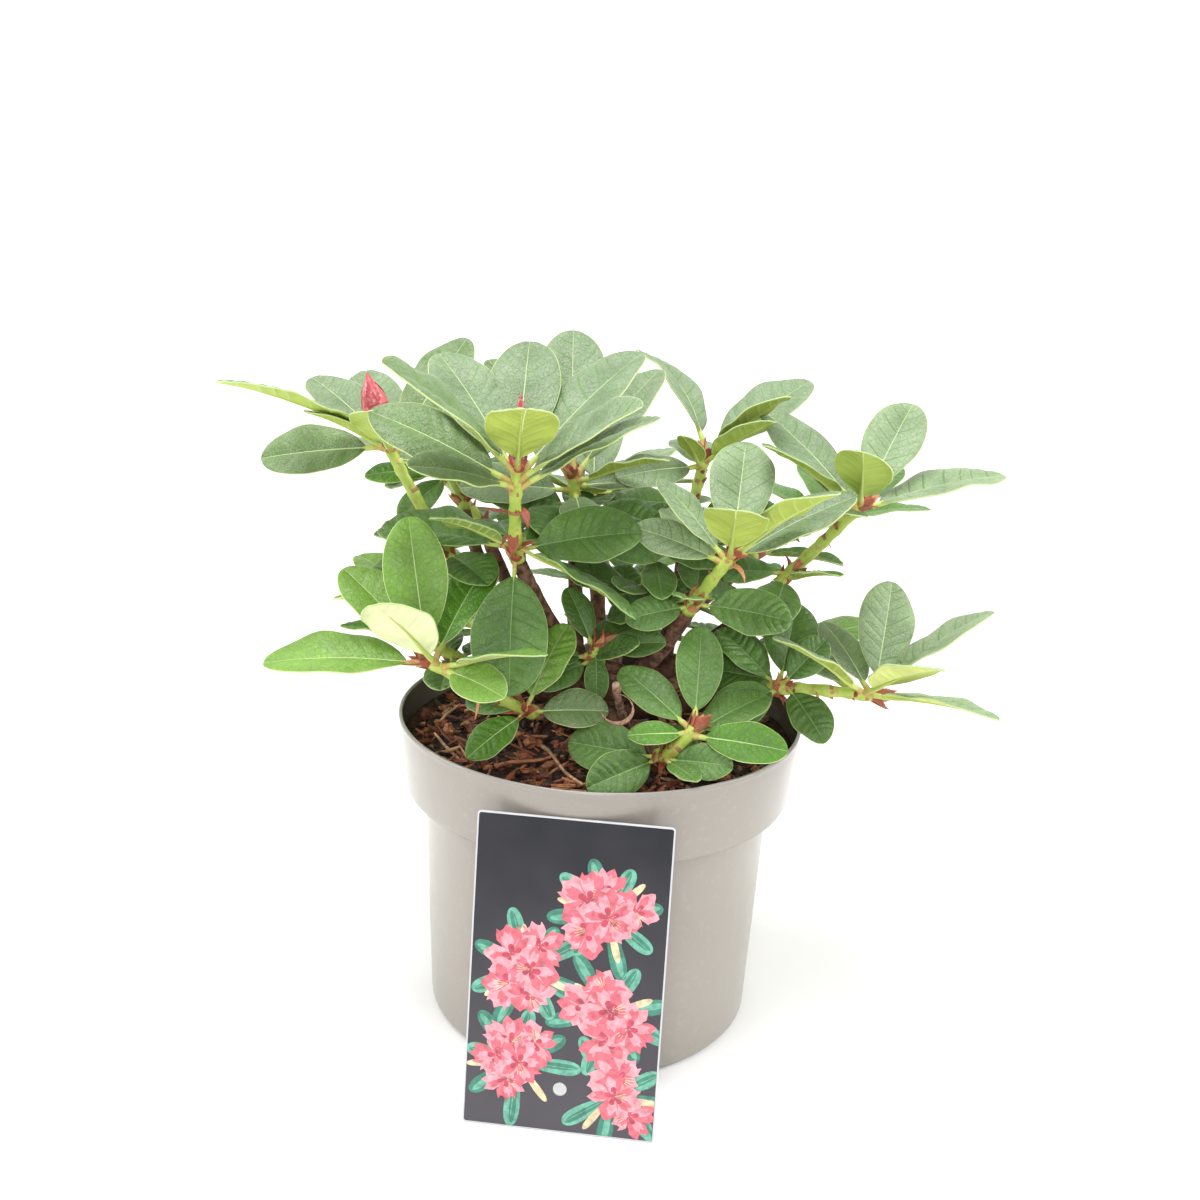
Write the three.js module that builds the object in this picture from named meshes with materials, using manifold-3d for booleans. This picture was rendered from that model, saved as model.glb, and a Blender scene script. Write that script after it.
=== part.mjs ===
// A young evergreen rhododendron in its nursery pot, with a picture card leaning on the pot.
// Millimetres, +Z up. The origin is the centre of the pot's flat underside, and the front is towards -Y.
import * as THREE from 'three';
import { mergeVertices } from 'three/addons/utils/BufferGeometryUtils.js';
import Module from 'manifold-3d';

const wasm = await Module();
wasm.setup();

// ---------------------------------------------------------------- driving dimensions

const GAP = 0.3; // clearance between two pieces that touch

const POT = {
  height: 133.7, rimRadius: 85, // across the lip
  collarDrop: 31.7, collarRadius: 81.6, // the deep collar below the lip, and its radius at its lower edge
  neckRadius: 73.4, waistRadius: 71.5, waistHeight: 50, footRadius: 69.6, // the body under the collar
  toe: 4, wall: 1.3, base: 1.8, // rounding of the bottom edge, and the plastic's thickness
  sides: 40,
};

const SOIL = { level: 122, crown: 1.5 }; // height at the wall, and how much higher it lies at the stem

const CARD = {
  width: 74, height: 124, thickness: 0.8, corner: 1.5,
  foot: [-9.3, -103.4], yaw: -6, lean: 8.75, // middle of the bottom edge on the floor, and its two turns
  lift: 0.05, // clearance of its lowest corner over the floor
};

// The short stem inside the bush leans, spreads at its foot into the flare of its roots, and is cut flat
// at ground level.
const TRUNK = {
  foot: [-0.4, 3.5, 121], tip: [2, 0, 140], ground: 123.8,
  radius: 7, tipRadius: 5.5, flare: 6,
};

const LIMB = {
  sides: 6, steps: 4, // the brown wood
  bendAcross: 0.6, bendUp: 0.4, // where its curve is drawn to, as shares of its reach across and of its rise
};

const STEM = {
  sides: 6, steps: 3, tipRadius: 2.3, // the green shoot of the year
  lead: 8, // the length over which it sets off in line with its bough
};

const LEAF = {
  petiole: 0.17, petioleRadius: 0.95, // share of the whole leaf that is stalk, and the stalk's radius
  thickness: 1.0,
  young: 0.53, old: 0.66, // breadth of the blade over its length, on this year's leaves and on older ones
  lean: 0.2, // how much the upper sides follow the shoot's direction rather than the light from above
  arch: 0.07, fold: 0.14, // rise of the blade over its length, and of its edges over its half breadth
  stations: [0, 0.03, 0.17, 0.3, 0.6, 0.88, 1], // rings along the leaf, from its root to its tip
  clearance: 0.4, // kept free round a leaf
};

// The two rosettes of a shoot: where on the shoot, where on its stem the first leaf is rooted below the
// rosette's centre, and how much further down every next leaf is.
const ROSETTES = [
  { part: 'crown', share: 1, breadth: LEAF.young, first: 1.5, step: 1.1 },
  { part: 'foot', share: 0, breadth: LEAF.old, first: -3.5, step: -1 },
];

// How far a leaf may be turned and raised to pass its neighbours, tried in this order, before it is left out.
const TURNS = [
  [0, 0], [7, 0], [-7, 0], [0, 8], [0, -8], [14, 4], [-14, 4], [14, -8], [-14, -8], [0, 16],
  [22, 0], [-22, 0],
];

const SEED = 5000; // of the small differences between leaves

// ---------------------------------------------------------------- the plant's growth

// Every bough: what it grows from and how far along that, its tip, and its radius at foot and tip.
const BOUGHS = [
  { name: 'left', from: 'trunk', at: 0.9, to: [-64, 8, 193], radii: [4.5, 3.0] },
  { name: 'top', from: 'trunk', at: 1.0, to: [-35, -22, 203], radii: [4.4, 3.0] },
  { name: 'front_left', from: 'trunk', at: 0.6, to: [-26, -34, 144], radii: [4.0, 2.8] },
  { name: 'front_right', from: 'trunk', at: 0.95, to: [33, -19, 184], radii: [4.4, 3.0] },
  { name: 'right', from: 'trunk', at: 0.8, to: [72, 10, 189], radii: [4.5, 3.0] },
  { name: 'low_right', from: 'trunk', at: 0.56, to: [68, -17, 152], radii: [4.0, 2.9] },
  { name: 'front', from: 'trunk', at: 0.65, to: [23, -52, 136], radii: [3.6, 2.6] },
  { name: 'middle', from: 'top', at: 0.3, to: [-14, 18, 208], radii: [3.6, 2.8] },
  { name: 'back_right', from: 'right', at: 0.3, to: [35, 38, 208], radii: [3.8, 2.8] },
  { name: 'back_left', from: 'left', at: 0.3, to: [-54, 46, 196], radii: [3.6, 2.8] },
  { name: 'heart', from: 'front_right', at: 0.5, to: [16, 2, 178], radii: [3.0, 2.6] },
  { name: 'inner_left', from: 'left', at: 0.62, to: [-62, 30, 210], radii: [2.9, 2.5] },
  { name: 'centre', from: 'front_right', at: 0.35, to: [0, -12, 158], radii: [2.8, 2.3] },
  { name: 'back', from: 'trunk', at: 0.85, to: [-6, 58, 196], radii: [4.0, 2.8] },
  { name: 'far_right', from: 'back_right', at: 0.35, to: [64, 54, 188], radii: [3.2, 2.7] },
  { name: 'low_left', from: 'trunk', at: 0.6, to: [-58, 4, 150], radii: [3.8, 2.7] },
  { name: 'low_back_left', from: 'trunk', at: 0.52, to: [-48, 46, 148], radii: [3.8, 2.7] },
  { name: 'low_back', from: 'trunk', at: 0.5, to: [8, 60, 146], radii: [3.8, 2.7] },
  { name: 'low_back_right', from: 'trunk', at: 0.46, to: [60, 44, 148], radii: [3.8, 2.7] },
];

// A twig that was cut off short stands up from the front bough.
const CUT_TWIG = { from: 'front', at: 0.5, to: [5.8, -49.2, 161], radii: [2.4, 1.5] };

// Every shoot carries on from the bough of its name to its tip. `crown` is the rosette at the tip and `foot`
// the older one where the shoot starts. A leaf is [heading, rise, length, front, bow]: heading 0 is to the
// right and -90 to the front, in degrees; `front` turns its upper side to the front, 0 if left out; `bow`
// multiplies its arch, 1 if left out. `bud` is the radius and length of a flower bud standing in the crown.
const SHOOTS = [
  {
    name: 'top', tip: [-36, -32, 243], bud: [2.8, 24],
    crown: [
      [-85, 31, 60], [90, 41, 64], [-142, 36, 72, 0.35], [140, 37, 62, 0.3], [35, 36, 70], [-30, 29, 60, 0.5],
      [175, 18, 60, 0.8], [-150, 6, 48, 0.4], [10, 20, 58],
    ],
    foot: [
      [-86, -62, 54], [0, 17, 50, 1], [164, 5, 61, 0.2], [-145, 29, 44, -0.3], [-25, -8, 54, -0.5],
      [50, 0, 46, 0.5], [100, 5, 46],
    ],
  },
  {
    name: 'left', tip: [-94, 12, 243], bud: [6.2, 25],
    crown: [
      [-145, 21, 74], [141, 23, 50, 0.3], [180, -12, 52, 1.3], [-150, 29, 36], [-92, 24, 44],
      [108, 26, 50, 0.3], [42, 42, 58, 0.6], [75, 20, 50], [-40, -5, 38],
    ],
    foot: [[-150, -10, 38, 0.5], [-60, 0, 36, 0.5], [100, 5, 40], [40, 15, 34], [170, 15, 36]],
  },
  {
    name: 'front_left', tip: [-69, -45, 168],
    crown: [
      [120, 64, 56], [146, 33, 52, 0.2], [65, 30, 57], [182, -2, 62, 0.3], [-110, 40, 52, -0.6],
      [-25, 13, 54, -0.4], [-40, -3, 44, 0.8],
    ],
    foot: [[-10, 8, 30, 0.8], [-148, -25, 33, 0.5], [160, 0, 32, 0.5], [60, 60, 38]],
  },
  {
    name: 'front_right', tip: [49, -28, 212],
    crown: [
      [83, 36, 60], [-96, 31, 54], [-49, 34, 60], [155, 36, 42, 0.2], [160, 8, 42, 1], [5, 28, 52, 0.3],
      [125, 10, 46],
    ],
    foot: [
      [-165, -5, 26, 1.2], [-15, 3, 42, 1], [-100, 29, 26], [80, 24, 34], [150, -5, 38, 0.5],
      [40, 5, 36, 0.5],
    ],
  },
  {
    name: 'right', tip: [106, 15, 225],
    crown: [
      [57, 41, 56, 0.3], [-104, 33, 54], [145, 32, 60, 0.5], [-162, 27, 57], [14, 10, 64],
      [-112, 5, 38, 0.8], [110, 10, 50],
    ],
    foot: [[-48, 20, 34], [-100, -12, 34, 0.8], [117, -4, 36], [175, 5, 34, 0.5]],
  },
  {
    name: 'low_right', tip: [112, -22, 153],
    crown: [
      [78, 44, 55, 0.3], [118, 27, 44, 0.2], [20, 33, 61, -0.3], [-160, 30, 56, -0.2], [-73, 32, 52],
      [-38, 5, 52, -0.2], [135, 8, 58, 0.3],
    ],
    foot: [
      [128, 34, 34, 0.5], [68, 36, 46, 0.3], [20, 38, 32, 0.8], [-150, -18, 30, 1.2], [-52, -18, 36, 1],
      [160, 10, 34, 0.8],
    ],
  },
  {
    name: 'front', tip: [37, -55, 150],
    crown: [[88, 48, 42], [150, 20, 40, 1], [-170, -8, 27, 1], [-15, -8, 36, 1.2], [35, 10, 36, 0.5]],
    foot: [[-145, -10, 34, 1.3], [170, 0, 36, 1], [-25, 5, 31, 1], [-60, -7, 28], [75, 0, 32, 0.5]],
  },
  {
    name: 'middle', tip: [-16, 20, 230],
    crown: [
      [97, 52, 70, 0.2], [45, 40, 64], [-25, 15, 45, -0.2], [10, -8, 28, 0.5], [145, 42, 64],
      [-165, -5, 48, 1], [-80, -20, 40, 0.8],
    ],
    foot: [
      [15, 0, 42, 0.8], [80, 5, 44], [150, -10, 40, 0.5], [-40, -8, 44, 0.9], [-110, 0, 40, 1],
      [-170, 5, 42, 1],
    ],
  },
  {
    name: 'back_right', tip: [41, 45, 237],
    crown: [
      [137, 38, 62, -0.3, 3], [-35, 38, 48], [22, 30, 60, 0.4], [-35, 24, 42], [-155, -10, 46, 0.9],
      [-120, 25, 26], [95, -5, 54],
    ],
    foot: [[-70, 0, 36, 0.8], [10, 5, 42, 0.5], [90, 0, 44], [170, 5, 40, 0.5]],
  },
  {
    name: 'centre', tip: [-1, -13, 167],
    crown: [[-5, 6, 28, 1.4], [-95, -50, 25, 0.5], [140, 45, 28, 0.8], [70, 50, 24, 0.5], [-165, 5, 30, 1]],
    foot: [
      [25, -10, 32, 1], [-150, -10, 32, 1], [100, 0, 30], [-35, 30, 26, 0.5], [180, 15, 28, 1],
      [60, 25, 28, 0.5],
    ],
  },
  {
    name: 'heart', tip: [20, 6, 204],
    crown: [
      [-35, 0, 38, 0.8], [-125, 5, 38, 0.8], [-85, -30, 34, 0.5], [30, 15, 40, 0.5], [90, 15, 40],
      [165, 10, 40, 0.8],
    ],
    foot: [
      [-70, -15, 32, 0.8], [-160, -10, 34, 1], [160, 20, 36, 0.6], [20, -10, 36], [100, -10, 36],
      [-45, 20, 28, 1], [-115, 15, 28, 1], [-135, -40, 30, 1], [-20, -45, 28, 1],
    ],
  },
  {
    name: 'inner_left', tip: [-71, 35, 228],
    crown: [[-30, -22, 30, 1.2], [178, -10, 36, 0.6], [-110, -25, 34, 1], [30, 0, 40], [100, 10, 40]],
    foot: [],
  },
  {
    name: 'back_left', tip: [-80, 66, 222],
    crown: [[70, 30, 60], [130, 15, 60], [175, 10, 56], [-120, 5, 44], [20, 15, 56], [100, 2, 50]],
    foot: [[90, 0, 44], [150, -5, 42], [20, 0, 40], [50, -20, 36]],
  },
  {
    name: 'back', tip: [-8, 88, 208],
    crown: [
      [90, 30, 62], [135, 22, 60], [45, 15, 58], [0, 8, 50], [180, 12, 54], [-90, 15, 44], [110, -4, 52],
      [65, -8, 50],
    ],
    foot: [[60, 0, 44], [120, 0, 44], [0, 5, 40], [180, 5, 40], [90, -25, 40]],
  },
  {
    name: 'far_right', tip: [104, 72, 204],
    crown: [
      [50, 20, 56], [95, 16, 58], [10, 6, 46], [140, 10, 54], [70, -8, 48], [120, -10, 46],
    ],
    foot: [[70, 0, 40], [0, 0, 42], [130, 0, 40]],
  },
  {
    name: 'low_left', tip: [-76, 6, 160],
    crown: [[140, 15, 48], [95, 20, 52], [180, 5, 36], [50, 15, 46]],
    foot: [[120, 0, 38], [60, 0, 36], [-100, 0, 34]],
  },
  {
    name: 'low_back_left', tip: [-80, 64, 154],
    crown: [[140, 15, 56], [95, 15, 58], [-175, 5, 46], [50, 10, 50], [-130, 5, 40], [115, -12, 46]],
    foot: [[120, -5, 40], [60, 0, 40], [175, 0, 38]],
  },
  {
    name: 'low_back', tip: [8, 98, 160],
    crown: [
      [90, 25, 60], [45, 15, 56], [135, 15, 56], [0, 5, 50], [180, 5, 50], [70, -12, 46], [112, -12, 46],
    ],
    foot: [[50, 0, 40], [130, 0, 40], [0, -5, 38], [180, -5, 38], [90, 30, 42]],
  },
  {
    name: 'low_back_right', tip: [88, 58, 144],
    crown: [[35, 6, 54], [85, 10, 58], [-10, 5, 46], [130, 5, 50], [60, -10, 46]],
    foot: [[100, -5, 40], [0, 0, 40], [150, 0, 36]],
  },
];

// ---------------------------------------------------------------- solids

// The closed body of a three.js geometry.
function solidOf(geometry) {
  const bare = geometry.clone();
  bare.deleteAttribute('normal');
  bare.deleteAttribute('uv');
  const merged = mergeVertices(bare, 1e-4);
  return new wasm.Manifold(new wasm.Mesh({
    numProp: 3,
    vertProperties: new Float32Array(merged.attributes.position.array),
    triVerts: new Uint32Array(merged.index.array),
  }));
}

function geometryOf(solid) {
  const mesh = solid.getMesh();
  const geometry = new THREE.BufferGeometry();
  geometry.setAttribute('position', new THREE.BufferAttribute(mesh.vertProperties, 3));
  geometry.setIndex(new THREE.BufferAttribute(mesh.triVerts, 1));
  geometry.computeVertexNormals();
  return geometry;
}

// The largest of the pieces that a cut leaves.
function largest(solid) {
  return solid.decompose().sort((a, b) => b.volume() - a.volume())[0];
}

function touches(a, b) {
  const p = a.boundingBox();
  const q = b.boundingBox();
  const apart = [0, 1, 2].some((k) => p.max[k] < q.min[k] || q.max[k] < p.min[k]);
  return !apart && a.intersect(b).volume() > 1e-6;
}

// The same draws in every run: a number from -1 to 1.
function draws(seed) {
  let state = seed;
  return () => {
    state = (state * 16807) % 2147483647;
    return (2 * state) / 2147483647 - 1;
  };
}

const vector = (xyz) => new THREE.Vector3(...xyz);

// ---------------------------------------------------------------- pot, soil and card

// Outer radius of the pot's body below its collar.
function bodyRadius(z) {
  const { height, collarDrop, waistHeight, footRadius, waistRadius, neckRadius } = POT;
  const waist = Math.min(z / waistHeight, 1);
  const neck = Math.max((z - waistHeight) / (height - collarDrop - waistHeight), 0);
  return footRadius + waist * (waistRadius - footRadius) + neck * (neckRadius - waistRadius);
}

function potGeometry() {
  const { height, rimRadius, collarRadius, toe, wall, base, waistHeight } = POT;
  const ledge = height - POT.collarDrop;
  const outside = [
    [0, 0], [bodyRadius(0) - toe, 0],
    [bodyRadius(toe) - toe * 0.29, toe * 0.29], [bodyRadius(toe), toe],
    [bodyRadius(waistHeight), waistHeight], [bodyRadius(ledge), ledge],
    [collarRadius, ledge], [rimRadius, height],
  ];
  const inside = [
    [rimRadius - wall, height], [collarRadius - wall, ledge + wall],
    [bodyRadius(ledge) - wall, ledge + wall], [bodyRadius(waistHeight) - wall, waistHeight],
    [bodyRadius(toe) - wall, toe], [bodyRadius(0) - toe, base], [0, base],
  ];
  const profile = [...outside, ...inside].map(([r, z]) => new THREE.Vector2(r, z));
  return new THREE.LatheGeometry(profile, POT.sides).rotateX(Math.PI / 2);
}

// The bark compost fills the pot up to its level and lies a little higher round the stem.
function soilGeometry() {
  const { height, rimRadius, collarRadius, toe, wall, base, waistHeight } = POT;
  const ledge = height - POT.collarDrop;
  const skin = wall + GAP;
  const share = (SOIL.level - ledge) / (height - ledge);
  const topRadius = collarRadius + share * (rimRadius - collarRadius) - skin;
  const profile = [
    [0, base + GAP], [bodyRadius(0) - toe - GAP, base + GAP], [bodyRadius(toe) - skin, toe + GAP],
    [bodyRadius(waistHeight) - skin, waistHeight], [bodyRadius(ledge) - skin, ledge + skin],
    [collarRadius - skin, ledge + skin], [topRadius, SOIL.level],
    [topRadius / 2, SOIL.level + SOIL.crown * 0.8], [0, SOIL.level + SOIL.crown],
  ].map(([r, z]) => new THREE.Vector2(r, z));
  return new THREE.LatheGeometry(profile, POT.sides).rotateX(Math.PI / 2);
}

// A card with rounded corners, stood on its bottom edge and leaned back on the pot's collar.
function cardGeometry() {
  const { width, height, thickness, corner, foot, yaw, lean, lift } = CARD;
  const x = width / 2;
  const outline = new THREE.Shape();
  outline.moveTo(-x + corner, 0);
  outline.lineTo(x - corner, 0);
  outline.absarc(x - corner, corner, corner, -Math.PI / 2, 0);
  outline.absarc(x - corner, height - corner, corner, 0, Math.PI / 2);
  outline.absarc(-x + corner, height - corner, corner, Math.PI / 2, Math.PI);
  outline.absarc(-x + corner, corner, corner, Math.PI, 1.5 * Math.PI);
  const sheet = { depth: thickness, bevelEnabled: false, curveSegments: 4 };
  const geometry = new THREE.ExtrudeGeometry(outline, sheet);
  geometry.translate(0, 0, -thickness);
  geometry.rotateX(Math.PI / 2 - THREE.MathUtils.degToRad(lean));
  geometry.rotateZ(THREE.MathUtils.degToRad(yaw));
  geometry.computeBoundingBox();
  return geometry.translate(foot[0], foot[1], lift - geometry.boundingBox.min.z);
}

// ---------------------------------------------------------------- limbs

// A limb leaves its parent low and outwards, and turns up towards its tip.
function limbCurve(from, to) {
  const a = vector(from);
  const b = vector(to);
  const reach = b.clone().sub(a);
  const shares = new THREE.Vector3(LIMB.bendAcross, LIMB.bendAcross, LIMB.bendUp);
  return new THREE.QuadraticBezierCurve3(a, a.clone().add(reach.multiply(shares)), b);
}

// A round, tapering body along a curve, with flat ends: a cylinder bent onto the curve.
function limbSolid(curve, radiusAt, sides, steps) {
  const geometry = new THREE.CylinderGeometry(1, 1, 1, sides, steps);
  const frames = curve.computeFrenetFrames(steps, false);
  const position = geometry.attributes.position;
  for (let i = 0; i < position.count; i++) {
    const step = Math.round((position.getY(i) + 0.5) * steps);
    const radius = radiusAt(step / steps);
    const point = curve.getPointAt(step / steps)
      .addScaledVector(frames.normals[step], position.getX(i) * radius)
      .addScaledVector(frames.binormals[step], -position.getZ(i) * radius);
    position.setXYZ(i, point.x, point.y, point.z);
  }
  return solidOf(geometry);
}

const taper = (foot, tip) => (share) => foot + share * (tip - foot);
const trunkRadius = (share) => taper(TRUNK.radius, TRUNK.tipRadius)(share) + TRUNK.flare * (1 - share) ** 3;

// A pointed flower bud sunk on the tip of a stem, more upright than the stem.
function budSolid(curve, [radius, length]) {
  const direction = curve.getTangentAt(1).add(new THREE.Vector3(0, 0, 1)).normalize();
  const profile = [
    [0, -2], [STEM.tipRadius * 0.8, -2], [radius, 0.45 * length], [radius * 0.7, 0.75 * length], [0, length],
  ].map(([r, z]) => new THREE.Vector2(r, z));
  const geometry = new THREE.LatheGeometry(profile, STEM.sides);
  geometry.applyQuaternion(new THREE.Quaternion().setFromUnitVectors(new THREE.Vector3(0, 1, 0), direction));
  return solidOf(geometry.translate(...curve.getPointAt(1).toArray()));
}

// ---------------------------------------------------------------- leaves

// Half the breadth of a leaf at a share of its length: a stalk, then a blade that is widest past its middle.
function halfBreadth(share, length, breadth) {
  const along = (share - LEAF.petiole) / (1 - LEAF.petiole);
  if (along <= 0) return LEAF.petioleRadius;
  const blade = length * (1 - LEAF.petiole);
  return Math.max(LEAF.petioleRadius, (blade * breadth * Math.sin(Math.PI * along ** 1.12) ** 0.5) / 2);
}

// One leaf from root to tip: a ball of few faces, drawn out along the leaf, arched, and folded at the midrib.
// `start` cuts off the root end, and `margin` thickens the body all over, both for tests of clearance.
function leafSolid(leaf, start = 0, margin = 0) {
  const around = 4;
  const shares = LEAF.stations.filter((share) => share >= start);
  const geometry = new THREE.SphereGeometry(1, around, shares.length - 1);
  const position = geometry.attributes.position;
  for (let i = 0; i < position.count; i++) {
    const share = shares[Math.floor(i / (around + 1))];
    const pole = share === shares[0] || share === 1;
    const angle = (i % (around + 1)) * (Math.PI / 2);
    const across = pole ? 0 : -Math.cos(angle) * (halfBreadth(share, leaf.length, leaf.breadth) + margin);
    const half = share <= LEAF.petiole ? LEAF.petioleRadius : LEAF.thickness / 2;
    const lift = pole ? 0 : Math.sin(angle) * (half + margin);
    const arch = 4 * share * (1 - share) * leaf.arch * leaf.length;
    const point = leaf.root.clone()
      .addScaledVector(leaf.along, share * leaf.length + (share === 1 ? margin : 0))
      .addScaledVector(leaf.across, across)
      .addScaledVector(leaf.upper, arch + lift + leaf.fold * Math.abs(across));
    position.setXYZ(i, point.x, point.y, point.z);
  }
  return solidOf(geometry);
}

// A leaf whose root lies `down` below the centre of its rosette, and whose tip is aimed from that centre.
// Its upper side looks up and along the shoot, and to the front by the share `front`.
function aimLeaf(rosette, down, [heading, rise, length, front = 0, bow = 1], [turn, tilt], draw) {
  const { centre, axis, breadth } = rosette;
  const h = THREE.MathUtils.degToRad(heading + turn);
  const r = THREE.MathUtils.degToRad(rise + tilt);
  const aim = new THREE.Vector3(Math.cos(h) * Math.cos(r), Math.sin(h) * Math.cos(r), Math.sin(r));
  const root = centre.clone().addScaledVector(axis, -down);
  const along = centre.clone().addScaledVector(aim, length).sub(root);
  const reach = along.length();
  along.normalize();
  const facing = new THREE.Vector3(0, -front, 1).addScaledVector(axis, LEAF.lean);
  const upper = facing.addScaledVector(along, -facing.dot(along)).normalize();
  const across = new THREE.Vector3().crossVectors(upper, along);
  const arch = LEAF.arch * bow * (1 + 0.4 * draw());
  const fold = LEAF.fold * (1 + 0.6 * draw());
  return { root, along, upper, across, length: reach, breadth, arch, fold };
}

// ---------------------------------------------------------------- assembly

const COLOURS = {
  pot: [0xb3aca2, 0.55], soil: [0x5a3628, 0.95], card: [0x474a55, 0.35],
  wood: [0x7d5a41, 0.85], foliage: [0x5c8a55, 0.5],
};

const plant = new THREE.Group();

function addNode(name, geometry, finish) {
  const [color, roughness] = COLOURS[finish];
  const mesh = new THREE.Mesh(geometry, new THREE.MeshStandardMaterial({ color, roughness, metalness: 0 }));
  mesh.name = name;
  plant.add(mesh);
}

addNode('pot', potGeometry(), 'pot');
addNode('soil', soilGeometry(), 'soil');
addNode('label', cardGeometry(), 'card');
const fixtures = plant.children.map((mesh) => solidOf(mesh.geometry));

// Each limb is cut off at ground level and cut clear of the limbs before it.
const limbs = new Map();
function addLimb(name, curve, radiusAt) {
  let solid = limbSolid(curve, radiusAt, LIMB.sides, LIMB.steps).trimByPlane([0, 0, 1], TRUNK.ground);
  for (const other of limbs.values()) {
    if (touches(solid, other.grown)) solid = largest(solid.subtract(other.grown));
  }
  const grown = limbSolid(curve, (share) => radiusAt(share) + GAP, LIMB.sides, LIMB.steps);
  limbs.set(name, { curve, solid, grown });
  addNode(name, geometryOf(solid), 'wood');
}

addLimb('trunk', new THREE.LineCurve3(vector(TRUNK.foot), vector(TRUNK.tip)), trunkRadius);
for (const bough of BOUGHS) {
  const parent = limbs.get(bough.from === 'trunk' ? 'trunk' : `bough_${bough.from}`);
  const start = parent.curve.getPointAt(bough.at).toArray();
  addLimb(`bough_${bough.name}`, limbCurve(start, bough.to), taper(...bough.radii));
}
const twigStart = limbs.get(`bough_${CUT_TWIG.from}`).curve.getPointAt(CUT_TWIG.at).toArray();
addLimb('cut_twig', limbCurve(twigStart, CUT_TWIG.to), taper(...CUT_TWIG.radii));

// Every stem first, so that no leaf is laid through the stem of another shoot.
const shoots = SHOOTS.map((row) => {
  const bough = limbs.get(`bough_${row.name}`);
  const direction = bough.curve.getTangentAt(1);
  const foot = bough.curve.getPointAt(1).addScaledVector(direction, GAP);
  const lead = foot.clone().addScaledVector(direction, STEM.lead);
  const curve = new THREE.QuadraticBezierCurve3(foot, lead, vector(row.tip));
  const footRadius = BOUGHS.find((entry) => entry.name === row.name).radii[1];
  const stem = limbSolid(curve, taper(footRadius, STEM.tipRadius), STEM.sides, STEM.steps);
  return { row, curve, stem: row.bud ? stem.add(budSolid(curve, row.bud)) : stem };
});

// A leaf keeps clear of pot, soil, card, limbs and all other shoots. Within its own rosette the stalks meet
// at the stem, so only the blades are tested against each other.
const placed = [];
function blocked(shoot, leaf) {
  const whole = leafSolid(leaf, 0, LEAF.clearance);
  const blade = leafSolid(leaf, LEAF.petiole, LEAF.clearance);
  return fixtures.some((body) => touches(whole, body))
    || [...limbs.values()].some((limb) => touches(whole, limb.solid))
    || shoots.some((other) => touches(other === shoot ? blade : whole, other.stem))
    || placed.some((other) => (other.shoot === shoot
      ? touches(blade, other.blade) : touches(whole, other.body)));
}

shoots.forEach((shoot, order) => {
  let mass = shoot.stem;
  for (const { part, share, breadth, first, step } of ROSETTES) {
    const rosette = { centre: shoot.curve.getPointAt(share), axis: shoot.curve.getTangentAt(share), breadth };
    shoot.row[part].forEach((entry, i) => {
      const aimed = (turn) => (
        aimLeaf(rosette, first + step * i, entry, turn, draws(SEED + 100 * order + 50 * share + i)));
      const leaf = TURNS.map(aimed).find((candidate) => !blocked(shoot, candidate));
      if (!leaf) return;
      const body = leafSolid(leaf);
      placed.push({ shoot, body, blade: leafSolid(leaf, LEAF.petiole) });
      mass = mass.add(body);
    });
  }
  addNode(`foliage_${shoot.row.name}`, geometryOf(mass), 'foliage');
});

export default plant;
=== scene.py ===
import math
import random

import bpy
import numpy as np
from mathutils import Matrix, Vector, kdtree, noise


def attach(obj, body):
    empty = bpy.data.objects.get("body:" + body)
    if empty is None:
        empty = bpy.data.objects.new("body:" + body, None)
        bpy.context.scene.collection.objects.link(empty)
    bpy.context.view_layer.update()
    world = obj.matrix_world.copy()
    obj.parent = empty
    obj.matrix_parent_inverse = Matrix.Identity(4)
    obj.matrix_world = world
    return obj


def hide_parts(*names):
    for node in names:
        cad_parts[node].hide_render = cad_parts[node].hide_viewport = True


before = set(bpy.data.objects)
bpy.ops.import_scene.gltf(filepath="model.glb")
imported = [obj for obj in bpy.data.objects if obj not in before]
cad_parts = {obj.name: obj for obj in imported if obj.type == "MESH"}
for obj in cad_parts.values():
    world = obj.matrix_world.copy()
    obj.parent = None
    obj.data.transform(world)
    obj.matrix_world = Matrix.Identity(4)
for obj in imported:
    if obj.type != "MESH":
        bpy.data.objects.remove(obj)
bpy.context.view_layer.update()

# ------------------------------------------------------------------ nursery pot
# A round pot of thin taupe-grey plastic, moulded in one piece: a deep collar over a slightly tapered body,
# and a flat underside with a rounded edge. It is pulled up ring by ring from a circle, the outside first.

MM = 0.001
POT_HEIGHT, RIM_RADIUS, COLLAR_DROP, COLLAR_RADIUS = 133.7, 85, 31.7, 81.6
NECK_RADIUS, WAIST_RADIUS, WAIST_HEIGHT, FOOT_RADIUS = 73.4, 71.5, 50, 69.6
TOE, WALL, BASE = 4, 1.3, 1.8
POT_SIDES = 160
LEDGE = POT_HEIGHT - COLLAR_DROP
TAUPE, SOILED_AND_SHADED, LIP_SHADE_GREY = (0.282, 0.256, 0.224), (0.13, 0.115, 0.10), (0.26, 0.25, 0.235)
DUST, SPECK = (0.62, 0.60, 0.56), (0.16, 0.13, 0.11)


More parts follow.
